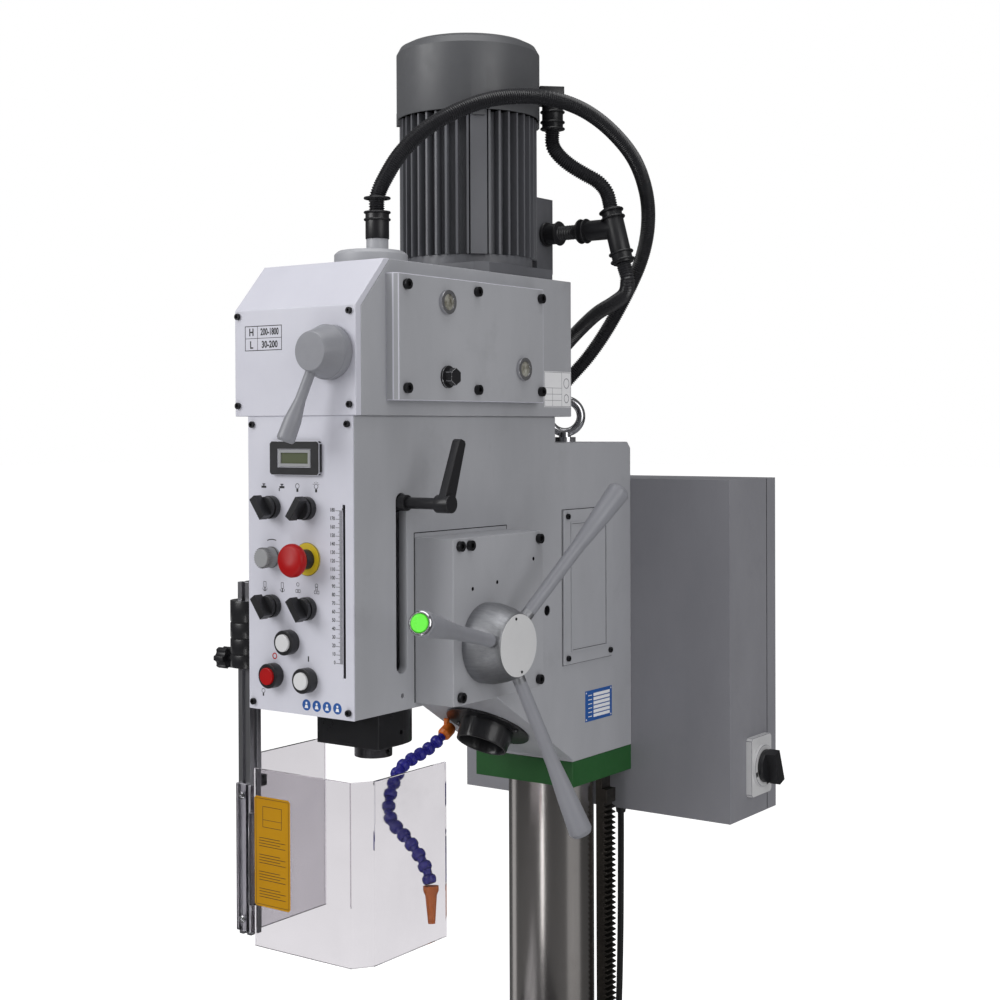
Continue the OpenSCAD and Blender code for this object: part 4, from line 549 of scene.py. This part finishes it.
dress("hose_upper", "blue_plastic", "orange_plastic",
      rule=lambda x, y, z, n: past(x, y, z, hose[0], hose[1]) < 16 and y > -195, ease=0)
dress("hose_lower", "blue_plastic", "orange_plastic",
      rule=lambda x, y, z, n: past(x, y, z, hose[HOSE_BEADS], Vector(NOZZLE_TIP)) > -0.2, ease=0)


# Geometry node trees

def grown(name, tree, start=None, smooth=False, **values):
    """Lets a geometry node tree make a plain mesh, from a curve or from nothing."""
    source = start or bpy.data.objects.new(name, bpy.data.meshes.new(name))
    if start is None:
        scene.collection.objects.link(source)
    grow = source.modifiers.new("grow", "NODES")
    grow.node_group = tree
    for item in tree.interface.items_tree:
        if item.in_out == "INPUT" and item.name in values:
            grow[item.identifier] = values[item.name]
    source.update_tag()
    bpy.context.view_layer.update()
    seen = source.evaluated_get(bpy.context.evaluated_depsgraph_get())
    mesh = bpy.data.meshes.new_from_object(seen)
    bpy.data.objects.remove(source)
    bm = bmesh.new()
    bm.from_mesh(mesh)
    bmesh.ops.remove_doubles(bm, verts=bm.verts, dist=1e-6)
    bmesh.ops.recalc_face_normals(bm, faces=bm.faces)
    for face in bm.faces:
        face.smooth = smooth
    crisp(bm, 50)
    bm.to_mesh(mesh)
    bm.free()
    mesh.name = name
    return bpy.data.objects.new(name, mesh)


def make_ribbed_conduit():
    """A corrugated tube along a curve: four rings to a rib, rising from valley to crest."""
    tree, take, give = new_tree("ribbed_conduit", "GeometryNodeTree", [
        ("Geometry", "Geometry", None), ("Ribs", "Int", 10), ("Valley", "Float", 0.0083),
        ("Crest", "Float", 0.01025), ("Finish", "Material", None)], [("Geometry", "Geometry")])
    rings = wire(tree, "ShaderNodeMath", {0: take["Ribs"], 1: 4.0, 2: 1.0}, operation="MULTIPLY_ADD")
    course = wire(tree, "GeometryNodeResampleCurve", {
        "Curve": take["Geometry"], "Count": rings.outputs[0]})
    turn = wire(tree, "ShaderNodeMath", {
        0: wire(tree, "GeometryNodeInputIndex").outputs[0], 1: math.tau / 4, 2: math.pi},
        operation="MULTIPLY_ADD")
    wave = wire(tree, "ShaderNodeMath", {0: turn.outputs[0]}, operation="COSINE")
    radius = remap(tree, wave.outputs[0], -0.6, 0.6, take["Valley"], take["Crest"])
    swollen = wire(tree, "GeometryNodeSetCurveRadius", {"Curve": course.outputs[0], "Radius": radius})
    ring = wire(tree, "GeometryNodeCurvePrimitiveCircle", {"Resolution": 18, "Radius": 1.0})
    tube = wire(tree, "GeometryNodeCurveToMesh", {
        "Curve": swollen.outputs[0], "Profile Curve": ring.outputs[0], "Fill Caps": True})
    if "Scale" in tube.inputs:
        tree.links.new(radius, tube.inputs["Scale"])
    whole = wire(tree, "GeometryNodeRealizeInstances", {"Geometry": tube.outputs[0]})
    done = wire(tree, "GeometryNodeSetMaterial", {
        "Geometry": whole.outputs[0], "Material": take["Finish"]})
    tree.links.new(done.outputs[0], give["Geometry"])
    return tree


def make_scale_ticks():
    """Ticks on a vertical line: every fifth and tenth longer, all ending at the same edge."""
    tree, take, give = new_tree("scale_ticks", "GeometryNodeTree", [
        ("Count", "Int", 181), ("Step", "Float", 0.001), ("Long", "Float", 0.0105),
        ("Middle", "Float", 0.0065), ("Short", "Float", 0.0045), ("Edge", "Vector", None),
        ("Thickness", "Float", 0.0005), ("Finish", "Material", None)], [("Geometry", "Geometry")])
    rise = wire(tree, "ShaderNodeCombineXYZ", {"Z": take["Step"]})
    line = wire(tree, "GeometryNodeMeshLine", {
        "Count": take["Count"], "Start Location": take["Edge"], "Offset": rise.outputs[0]})
    index = wire(tree, "GeometryNodeInputIndex").outputs[0]

    def each(n):
        rest = wire(tree, "ShaderNodeMath", {0: index, 1: n}, operation="MODULO")
        return wire(tree, "ShaderNodeMath", {0: rest.outputs[0], 1: 0.5}, operation="LESS_THAN").outputs[0]

    fifth = wire(tree, "ShaderNodeMix", {0: each(5.0), 2: take["Short"], 3: take["Middle"]})
    reach = wire(tree, "ShaderNodeMix", {0: each(10.0), 2: fifth.outputs[0], 3: take["Long"]})
    bar = wire(tree, "GeometryNodeMeshCube", {"Size": (1, 0.00012, 1)})
    moved = wire(tree, "GeometryNodeTransform", {
        "Geometry": bar.outputs[0], "Translation": (-0.5, 0, 0)})
    size = wire(tree, "ShaderNodeCombineXYZ", {"X": reach.outputs[0], "Y": 1.0, "Z": take["Thickness"]})
    ticks = wire(tree, "GeometryNodeInstanceOnPoints", {
        "Points": line.outputs[0], "Instance": moved.outputs[0], "Scale": size.outputs[0]})
    whole = wire(tree, "GeometryNodeRealizeInstances", {"Geometry": ticks.outputs[0]})
    done = wire(tree, "GeometryNodeSetMaterial", {
        "Geometry": whole.outputs[0], "Material": take["Finish"]})
    tree.links.new(done.outputs[0], give["Geometry"])
    return tree


def make_grip_ribs():
    """Ribs standing in a ring about the y axis, leaning with the knob's flank."""
    tree, take, give = new_tree("grip_ribs", "GeometryNodeTree", [
        ("Count", "Int", 28), ("Ring", "Float", 0.0118), ("Length", "Float", 0.014),
        ("Width", "Float", 0.0009), ("Centre", "Vector", None), ("Lean", "Float", 0.088),
        ("Finish", "Material", None)], [("Geometry", "Geometry")])
    ring = wire(tree, "GeometryNodeMeshCircle", {"Vertices": take["Count"], "Radius": take["Ring"]})
    number = wire(tree, "GeometryNodeInputIndex").outputs[0]
    angle = wire(tree, "ShaderNodeMath", {0: math.tau, 1: take["Count"]}, operation="DIVIDE")
    turn = wire(tree, "ShaderNodeMath", {0: number, 1: angle.outputs[0]}, operation="MULTIPLY")
    size = wire(tree, "ShaderNodeCombineXYZ", {"X": take["Width"], "Y": take["Width"], "Z": take["Length"]})
    rib = wire(tree, "GeometryNodeMeshCube", {"Size": size.outputs[0]})
    lean = wire(tree, "ShaderNodeCombineXYZ", {"Y": take["Lean"]})
    leaning = wire(tree, "GeometryNodeTransform", {"Geometry": rib.outputs[0], "Rotation": lean.outputs[0]})
    spin = wire(tree, "ShaderNodeCombineXYZ", {"Z": turn.outputs[0]})
    ribs = wire(tree, "GeometryNodeInstanceOnPoints", {
        "Points": ring.outputs[0], "Instance": leaning.outputs[0], "Rotation": spin.outputs[0]})
    whole = wire(tree, "GeometryNodeRealizeInstances", {"Geometry": ribs.outputs[0]})
    laid = wire(tree, "GeometryNodeTransform", {
        "Geometry": whole.outputs[0], "Rotation": (math.pi / 2, 0, 0), "Translation": take["Centre"]})
    done = wire(tree, "GeometryNodeSetMaterial", {
        "Geometry": laid.outputs[0], "Material": take["Finish"]})
    tree.links.new(done.outputs[0], give["Geometry"])
    return tree


# Conduits

CONDUITS = {
    "control_conduit": (310, [
        (8, -402, 546), (8, -402, 568), (13, -393, 592), (23, -372, 627), (40, -342, 660),
        (62, -310, 684), (86, -273, 702), (109, -233, 711), (131, -190, 712), (151, -143, 702),
        (165, -95, 680), (173, -48, 647), (170, -11, 607), (159, 14, 566), (140, 31, 524),
        (114, 39, 480), (80, 38, 426), (49, 32, 383), (22, 20, 350), (0, 8, 322), (-14, -2, 300),
        (-14, -2, 279)]),
    "fan_conduit": (46, [
        (83, -115, 688), (83, -115, 666), (93, -112, 650), (108, -106, 636), (125, -98, 624),
        (141, -90, 613), (152, -85, 597.5), (158, -85, 575)]),
    "motor_conduit": (9, [(74, -85, 548), (110, -85, 548)]),
    "supply_conduit": (112, [
        (178, -85, 500), (184, -85, 477.5), (174, -74, 460), (147, -60, 449), (108, -42, 437),
        (68, -26, 416), (28, -14, 388), (-12, -6, 356), (-42, 2, 326), (-52, 6, 302), (-52, 6, 279)])}
ribbed = make_ribbed_conduit()
for name, (ribs, route) in CONDUITS.items():
    piece = grown(name, ribbed, line_object(name + "_line", fine_course(route)),
                  smooth=True, Ribs=ribs, Finish=FINISH["conduit_plastic"])
    settle(piece, "machine_frame")
    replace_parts(piece, "conduits")
dress("conduit_fittings", "black_plastic", ease=0.5)


# Mains cable

cable_route = [
    (22, 160, 1014), (22, 160, 985), (21, 161, 920), (19, 163, 840), (16, 165, 760),
    (13, 166, 690), (11, 167, 610), (10, 168, 520), (10, 169, 430), (10, 170, 340), (10, 171, 250),
    (10, 173, 170), (10, 178, 110), (10, 188, 60), (10, 205, 27), (10, 226, 10), (10, 245, 5.4),
    (10, 262, 5.2), (10, 290, 5.2)]
CABLE_END = (10, 290, 5.2)
COIL_RADIUS, COIL_TURNS, COIL_PITCH, COIL_STEP = 55, 5, 11, 11
half_coil = COIL_TURNS * 180


def coil_radius(a):
    return COIL_RADIUS + COIL_PITCH / 360 * (half_coil / 2 - a if a < half_coil else a - half_coil * 1.5)


def coil_point(a):
    rise = 0 if a < half_coil - 90 else COIL_STEP if a > half_coil + 90 else (
        COIL_STEP * (1 - math.cos(math.radians(a - half_coil + 90))) / 2)
    r, t = coil_radius(a), math.radians(a)
    centre = (CABLE_END[0] - coil_radius(0), CABLE_END[1] + 4)
    return at(centre[0] + r * math.cos(t), centre[1] + r * math.sin(t), CABLE_END[2] + rise, 0)


coil = [coil_point(k * 15) for k in range(COIL_TURNS * 24 + 1)]
cable_course = fine_course(cable_route, 0) + coil + [
    coil[-1] + Vector((0, 0.025, -0.001)), coil[-1] + Vector((0, 0.05, -0.001))]
cable = line_object("mains_cable_run", cable_course)
cable.data.bevel_depth = 0.005
cable.data.bevel_resolution = 3
cable.data.use_fill_caps = True
cable.data.materials.append(FINISH["black_rubber"])
settle(cable, "machine_frame")
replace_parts(cable, "mains_cable", "cable_coil")
plug = dress("mains_plug", "grey_plastic", ease=0.8)


# Printed marks and painted shade lines

class Marks:
    """Thin printed shapes and painted shade lines on one flat face. Places are millimetres across and up
    from its corner.
    """

    def __init__(self, name, body, finish_name, origin, across, up, lift=0.06):
        self.bm, self.name, self.body, self.finish = bmesh.new(), name, body, finish_name
        across, up = Vector(across).normalized(), Vector(up).normalized()
        out = across.cross(up)
        self.place = Matrix.Translation(at(*origin) + out * 0.00002) @ Matrix(
            (across, up, out)).transposed().to_4x4()
        self.lift = lift

    def slab(self, points):
        low = [self.bm.verts.new((x, y, 0)) for x, y in points]
        high = [self.bm.verts.new((x, y, self.lift)) for x, y in points]
        self.bm.faces.new(low[::-1])
        self.bm.faces.new(high)
        for i in range(len(points)):
            j = (i + 1) % len(points)
            self.bm.faces.new((low[i], low[j], high[j], high[i]))

    def bar(self, x0, y0, x1, y1):
        self.slab([(x0, y0), (x1, y0), (x1, y1), (x0, y1)])

    def frame(self, x0, y0, x1, y1, w):
        self.bar(x0, y0, x1, y0 + w)
        self.bar(x0, y1 - w, x1, y1)
        self.bar(x0, y0 + w, x0 + w, y1 - w)
        self.bar(x1 - w, y0 + w, x1, y1 - w)

    def disc(self, x, y, r, sides=32):
        self.slab([(x + r * math.cos(math.tau * k / sides), y + r * math.sin(math.tau * k / sides))
                   for k in range(sides)])

    def arc(self, x, y, r, w, start=0, end=360, sides=28):
        for k in range(sides):
            a, b = (math.radians(start + (end - start) * (k + d) / sides) for d in (0, 1))
            self.slab([(x + q * math.cos(t), y + q * math.sin(t)) for q, t in (
                (r, a), (r + w, a), (r + w, b), (r, b))])

    def line(self, x0, y0, x1, y1, w):
        d = Vector((x1 - x0, y1 - y0)).normalized() * w / 2
        self.slab([(x0 + d.y, y0 - d.x), (x1 + d.y, y1 - d.x), (x1 - d.y, y1 + d.x),
                   (x0 - d.y, y0 + d.x)])

    def words(self, text, x, y, size, align="LEFT", squeeze=1.0, bold=0.0):
        font = bpy.data.curves.new("marks", "FONT")
        font.body, font.size, font.align_x, font.resolution_u = text, size, align, 3
        font.extrude, font.offset = self.lift / 2, bold
        holder = bpy.data.objects.new("marks", font)
        scene.collection.objects.link(holder)
        bpy.context.view_layer.update()
        mesh = bpy.data.meshes.new_from_object(holder.evaluated_get(
            bpy.context.evaluated_depsgraph_get()))
        bpy.data.objects.remove(holder)
        mesh.transform(Matrix.Translation((x, y, self.lift / 2)) @ Matrix.Diagonal((squeeze, 1, 1, 1)))
        self.bm.from_mesh(mesh)
        bpy.data.meshes.remove(mesh)

    def done(self):
        bmesh.ops.remove_doubles(self.bm, verts=self.bm.verts, dist=1e-4)
        bmesh.ops.recalc_face_normals(self.bm, faces=self.bm.faces)
        mesh = bpy.data.meshes.new(self.name)
        self.bm.to_mesh(mesh)
        self.bm.free()
        mesh.transform(self.place @ Matrix.Scale(0.001, 4))
        mesh.materials.append(FINISH[self.finish])
        return settle(bpy.data.objects.new(self.name, mesh), self.body)


FRONT = ((1, 0, 0), (0, 0, 1))      # a face that looks to the front
RIGHT = ((0, 1, 0), (0, 0, 1))      # a face that looks to the machine's right


def on_panel(name, finish_name):
    return Marks(name, "machine_frame", finish_name, (0, PANEL_FACE, 0), *FRONT)


ticks = grown("depth_scale_ticks", make_scale_ticks(), Edge=at(67.5, PANEL_FACE - 0.05, 0),
              Finish=FINISH["ink"])
settle(ticks, "machine_frame")
numbers = on_panel("depth_scale_numbers", "ink")
for value in range(0, 181, 10):
    numbers.words(str(value), 56, value - 1.2, 6.2, "RIGHT", 0.86, 0.12)
numbers.done()

signs = on_panel("panel_signs", "ink")
for x, y in ((-58.3, 206.5), (-28.4, 206.5)):                 # coolant tap
    signs.bar(x - 4, y - 1.6, x + 4, y + 1)
    signs.bar(x - 0.9, y + 1, x + 0.9, y + 2.6)
    signs.bar(x - 2.4, y + 2.6, x + 2.4, y + 3.8)
signs.bar(-33.6, 201.4, -32, 205)
for x, y in ((-3.3, 208), (26.7, 208)):                       # lamp
    signs.arc(x, y, 2.6, 0.7)
    signs.bar(x - 1.6, y - 7, x + 1.6, y - 3.4)
for k in range(5):
    t = math.radians(30 + 30 * k)
    signs.line(26.7 + 4.2 * math.cos(t), 208 + 4.2 * math.sin(t),
               26.7 + 5.8 * math.cos(t), 208 + 5.8 * math.sin(t), 0.5)
for x in (-57.4, -28.6):                                      # tap and drill
    signs.frame(x - 2.2, 83.6, x + 2.2, 91, 0.6)
    signs.arc(x, 83, 3.2, 0.6, 180, 360, 14)
    signs.bar(x - 0.8, 79.5, x + 0.8, 83.6)
for x, parts in ((-3.4, ((-3.6, 80), (0.6, 80))), (26.5, ((-3.8, 80), (0.6, 80), (-1.6, 84.6)))):
    for dx, z in parts:                                       # speed ranges
        signs.frame(x + dx, z, x + dx + 3.6, z + 4, 0.6)
    signs.arc(x, 90, 1.8, 0.6)
signs.arc(-45, 121, 21, 1.1, 72, 112, 12)                     # speed rises to the right
signs.bar(12.2, -1.6, 14, 5)                                  # start
signs.arc(-60.9, -42.6, 2.3, 0.6)                             # power lamp
signs.bar(-62, -49, -59.8, -45.6)
signs.done()
ring = on_panel("stop_sign", "red_print")
ring.arc(-41.7, 1.2, 2.5, 1.5)
ring.done()
discs = on_panel("duty_discs", "blue_print")
for x in (9.6, 25.9, 42.2, 58.5):
    discs.disc(x, -53.5, 6.7)
discs.done()
rims = Marks("duty_rims", "machine_frame", "white_print", (0, PANEL_FACE - 0.1, 0), *FRONT)
for x in (9.6, 25.9, 42.2, 58.5):
    rims.disc(x, -51.2, 1.5, 20)
    rims.slab([(x - 2.8, -57.2), (x + 2.8, -57.2), (x + 1.7, -53.4), (x - 1.7, -53.4)])
rims.done()
mask = Marks("display_mask", "machine_frame", "grey_plastic", (0, PANEL_FACE - 3.55, 0), *FRONT, lift=1.4)
mask.frame(-29.6, 231.4, 21.6, 251.6, 3.6)
mask.done()

table = Marks("speed_table", "machine_frame", "ink", (-86.7, PLATE_FACE, 371.8), *FRONT)
table.frame(0, 0, 61.2, 30.4, 0.9)
table.bar(0.7, 14.9, 60.5, 15.5)
table.bar(20.8, 0.7, 21.4, 29.7)
table.words("H", 10.8, 18.6, 12.5, "CENTER", 0.9, 0.35)
table.words("L", 10.8, 3.2, 12.5, "CENTER", 0.9, 0.35)
table.words("200-1800", 41, 19, 11.5, "CENTER", 0.68, 0.35)
table.words("30-200", 41, 3.6, 11.5, "CENTER", 0.82, 0.35)
table.done()

chart = Marks("oil_chart", "machine_frame", "white_print", (91, -150, 305), *RIGHT)
chart.bar(0, 0, 67, 49)
chart.done()
rules = Marks("oil_chart_rules", "machine_frame", "ruled_grey", (91.1, -150, 305), *RIGHT)
rules.frame(0.8, 0.8, 66.2, 48.2, 0.7)
rules.bar(43, 1.5, 43.7, 47.5)
for z in (9, 17.5, 26):
    rules.bar(1.5, z, 43, z + 0.6)
rules.bar(20, 1.5, 20.6, 26)
rules.arc(55, 12, 5, 1.2)
rules.arc(55, 33, 6, 1.2)
rules.done()

plate = Marks("data_plate", "machine_frame", "blue_print", (HEAD_SIDE, -39, -142), *RIGHT)
plate.bar(0, 0, 72, 44)
plate.done()
fields = Marks("data_fields", "machine_frame", "white_print", (HEAD_SIDE + 0.1, -39, -142), *RIGHT)
for k in range(6):
    fields.bar(22, 4.6 + 6 * k, 66, 9 + 6 * k)
    fields.bar(8, 6.2 + 6 * k, 18, 7.3 + 6 * k)
for x, z in ((3, 3), (69, 3), (3, 41), (69, 41)):
    fields.disc(x, z, 1.2, 12)
fields.done()

label = Marks("guard_label", "guard_shield", "yellow_label", (-97.5, SHIELD_FACE, -316), *FRONT,
              lift=0.15)
wide, high, cut = 60, 137, 3
label.slab([(cut, 0), (wide - cut, 0), (wide, cut), (wide, high - cut), (wide - cut, high),
            (cut, high), (0, high - cut), (0, cut)])
label.done()
lines = Marks("guard_label_rules", "guard_shield", "ink", (-97.5, SHIELD_FACE - 0.17, -316), *FRONT)
lines.frame(2.5, 2.5, 57.5, 134.5, 0.5)
for group in range(4):
    for k in range(4):
        lines.bar(8, 12 + group * 21 + k * 3.4, 52 - 9 * (k % 2), 12.7 + group * 21 + k * 3.4)
lines.frame(14, 99, 46, 125, 0.6)
lines.bar(14, 108, 46, 108.5)
lines.done()

bead = Marks("access_cover_bead", "machine_frame", "head_paint", (COVER_FACE - 0.02, -97, -54), *RIGHT,
             lift=1.2)
bead.frame(17, 17, 112, 199, 2.2)
bead.done()
# A dark ink line just inside the bead: painted shade along the raised panel's inner edge.
groove_shade = Marks("access_cover_groove_shade", "machine_frame", "ink", (COVER_FACE, -97, -54), *RIGHT)
groove_shade.frame(19.3, 19.3, 109.7, 196.7, 0.6)
groove_shade.done()
# Ink lines round the access cover and along the feed box's left and top edges: painted shade in the gaps
# between the parts.
gap_shade_lines = Marks("side_gap_shade_lines", "machine_frame", "ink", (HEAD_SIDE, 0, 0), *RIGHT)
gap_shade_lines.frame(-98, -55, 33, 163, 0.9)
gap_shade_lines.bar(-427.2, -60, -425.6, 149)
gap_shade_lines.bar(-425.6, 147.8, -230, 149)
gap_shade_lines.bar(-231.2, 130, -230, 147.8)
gap_shade_lines.done()
# An ink line down the cabinet's side at the door's edge: painted shade in the gap between door and body.
seam_shade = Marks("door_seam_shade", "machine_frame", "ink", (248, 205.2, -290), *RIGHT)
seam_shade.bar(0, 1, 1.3, 490.5)
seam_shade.done()
notches = Marks("switch_notches", "machine_frame", "ink", (262.02, 170, -218), *RIGHT, lift=0.3)
for a in (20, 200, 290):
    t = math.radians(a)
    notches.line(25 * math.cos(t), 25 * math.sin(t), 29.5 * math.cos(t), 29.5 * math.sin(t), 7)
notches.done()

# Feed hub: bare disc and its two pins
disc = Marks("hub_disc", "feed_hub", "white_plastic", (192.82, *FEED_SHAFT), *RIGHT, lift=0.5)
disc.disc(0, 0, 38.4, 64)
disc.done()
pins = Marks("hub_pins", "feed_hub", "black_oxide", (193.3, *FEED_SHAFT), *RIGHT, lift=0.7)
for a in (100, 280):
    pins.disc(33.5 * math.cos(math.radians(a)), 33.5 * math.sin(math.radians(a)), 1.8, 16)
pins.done()


# Small turned pieces

def turned(name, body, finish_name, profile, frame_matrix, sides=48):
    """A turned piece: a closed profile of (radius, height) in millimetres about the frame's z axis."""
    bm = bmesh.new()
    rings = []
    for r, h in profile:
        if r == 0:
            rings.append([bm.verts.new((0, 0, h))])
        else:
            rings.append([bm.verts.new((r * math.cos(math.tau * k / sides),
                                        r * math.sin(math.tau * k / sides), h)) for k in range(sides)])
    closed = profile[0][0] > 0 and profile[-1][0] > 0
    for i in range(len(rings) if closed else len(rings) - 1):
        a, b = rings[i], rings[(i + 1) % len(rings)]
        for k in range(sides):
            j = (k + 1) % sides
            bm.faces.new((a if len(a) == 1 else [a[k], a[j]]) + (b if len(b) == 1 else [b[j], b[k]]))
    bmesh.ops.recalc_face_normals(bm, faces=bm.faces)
    mark_curved(bm)
    crisp(bm)
    mesh = bpy.data.meshes.new(name)
    bm.to_mesh(mesh)
    bm.free()
    mesh.transform(frame_matrix @ Matrix.Scale(0.001, 4))
    mesh.materials.append(FINISH[finish_name])
    return settle(bpy.data.objects.new(name, mesh), body)


def facing(point, direction):
    """A frame at a point whose z axis looks in the direction."""
    return Matrix.Translation(point) @ Vector(direction).to_track_quat("Z", "Y").to_matrix().to_4x4()


arm = Matrix.Translation(at(172.2, *FEED_SHAFT)) @ Matrix.Rotation(
    math.radians(77.5), 4, "X") @ Matrix.Rotation(math.radians(14), 4, "Y")
turned("clutch_button_ring", "feed_hub", "chrome",
       [(10.3, -2), (13.4, -2), (13.4, 1.6), (12.4, 2.4), (11, 2.4), (10.3, 1.4)],
       arm @ Matrix.Translation((0, 0, 0.26)))
for number, (y, z) in enumerate(((-389, 431.8), (-224, 353.8)), 1):
    turned(f"sight_lens_{number}", "machine_frame", "oil_glass",
           [(0, 3.4), (9.7, 3.4), (9.7, 3.7), (6, 4.5), (0, 4.9)],
           facing(at(107, y, z), (1, 0, 0)))
for number, z in enumerate((-337.5, -182.5), 1):
    turned(f"leaf_screw_{number}", "guard_rail", "chrome",
           [(0, 0), (4.6, 0), (4.6, 1.8), (3.6, 2.6), (2.2, 2.6), (1.9, 1.2), (0, 1.2)],
           facing(at(-118.5, SHIELD_FACE - 0.02, z), (0, -1, 0)), 24)

ribs = grown("speed_knob_ribs", make_grip_ribs(), Centre=at(-45, -551.5, 121),
             Finish=FINISH["grey_plastic"])
settle(ribs, "speed_knob")


COLLAR = [(13, -1.2), (16.6, -1.2), (17.2, 0), (16.6, 1.2), (13, 1.2)]
collars = [((8, -402, z), (0, 0, 1)) for z in (540, 549, 567)]
collars += [((83, -115, z), (0, 0, 1)) for z in (688, 697, 711)]
collars += [((x, -85, 548), (1, 0, 0)) for x in (54, 74, 110, 119)]
slant = (Vector((178, -85, 500)) - Vector((158, -85, 575))).normalized()
collars += [(Vector((158, -85, 575)) + slant * d, slant) for d in (3, 13, 63, 74)]
for number, (point, way) in enumerate(collars, 1):
    turned(f"fitting_collar_{number}", "machine_frame", "black_plastic", COLLAR, facing(at(*point), way), 36)


# Floor and light

def light(name, place, aim, size, watts):
    """A rectangular studio lamp that looks from its place at its aim, in metres and watts."""
    lamp = bpy.data.lights.new(name, "AREA")
    lamp.shape, lamp.size, lamp.size_y = "RECTANGLE", size[0], size[1]
    lamp.energy = watts
    obj = bpy.data.objects.new(name, lamp)
    obj.matrix_world = facing(Vector(place), Vector(place) - Vector(aim))
    scene.collection.objects.link(obj)


light("key_front_left", (-1.8, -3.6, 3.2), (0, -0.3, 1.4), (2.4, 2.4), 88)
light("fill_right", (3.4, -1.2, 2.4), (0, -0.2, 1.5), (2.0, 2.6), 38)
light("column_strip", (0.255, -1.478, 0.56), (0, 0, 0.56), (0.15, 1.1), 2.2)
light("column_card", (1.69, 0.15, 0.56), (0, 0, 0.56), (1.2, 1.1), 1.5)
light("left_card", (-1.7, -0.1, 0.56), (0, 0, 0.56), (0.6, 1.1), 1.2)
light("top_soft", (0.2, -0.6, 4.4), (0, -0.2, 1.4), (2.6, 2.6), 48)


def seen_straight(tree):
    """The kinds of ray, and a mask of what the camera sees, also through the clear guard."""
    kinds = wire(tree, "ShaderNodeLightPath").outputs
    mask = wire(tree, "ShaderNodeMath", {
        0: kinds["Is Camera Ray"], 1: kinds["Is Transmission Ray"]}, operation="MAXIMUM")
    return kinds, mask.outputs[0]


def lay_floor(reach=60, depth=0.0004):
    """A pale floor that keeps the shadow, glows a little to the eye and is dull in reflections."""
    mesh = bpy.data.meshes.new("floor")
    mesh.from_pydata([(x, y, -depth) for x, y in (
        (-reach, -reach), (reach, -reach), (reach, reach), (-reach, reach))], [], [(0, 1, 2, 3)])
    floor = bpy.data.objects.new("floor", mesh)
    scene.collection.objects.link(floor)
    ground = bpy.data.materials.new("pale_floor")
    ground.use_nodes = True
    tree = ground.node_tree
    tree.nodes.remove(tree.nodes["Principled BSDF"])
    matt = wire(tree, "ShaderNodeBsdfDiffuse", {"Color": (0.8, 0.8, 0.8, 1)})
    glow = wire(tree, "ShaderNodeEmission", {"Color": (1, 1, 1, 1), "Strength": 0.8})
    both = wire(tree, "ShaderNodeAddShader", {0: matt.outputs[0], 1: glow.outputs[0]})
    kinds, seen = seen_straight(tree)
    dull = wire(tree, "ShaderNodeBsdfDiffuse", {"Color": (0.2, 0.2, 0.2, 1)})
    lit = wire(tree, "ShaderNodeMixShader", {
        0: kinds["Is Glossy Ray"], 1: matt.outputs[0], 2: dull.outputs[0]})
    pick = wire(tree, "ShaderNodeMixShader", {0: seen, 1: lit.outputs[0], 2: both.outputs[0]})
    tree.links.new(pick.outputs[0], tree.nodes["Material Output"].inputs["Surface"])
    mesh.materials.append(ground)


def light_studio():
    """A white backdrop to the eye, a soft light all round, and a dimmer one in reflections."""
    world = bpy.data.worlds.new("studio")
    scene.world = world
    world.use_nodes = True
    tree = world.node_tree
    soft = tree.nodes["Background"]
    soft.inputs["Color"].default_value = (1, 1, 1, 1)
    soft.inputs["Strength"].default_value = 0.3
    white = wire(tree, "ShaderNodeBackground", {"Color": (1, 1, 1, 1), "Strength": 1.0})
    kinds, seen = seen_straight(tree)
    dim = wire(tree, "ShaderNodeBackground", {"Color": (1, 1, 1, 1), "Strength": 0.13})
    mirrored = wire(tree, "ShaderNodeMixShader", {
        0: kinds["Is Glossy Ray"], 1: soft.outputs[0], 2: dim.outputs[0]})
    pick = wire(tree, "ShaderNodeMixShader", {
        0: seen, 1: mirrored.outputs[0], 2: white.outputs[0]})
    tree.links.new(pick.outputs[0], tree.nodes["World Output"].inputs["Surface"])


lay_floor()
light_studio()
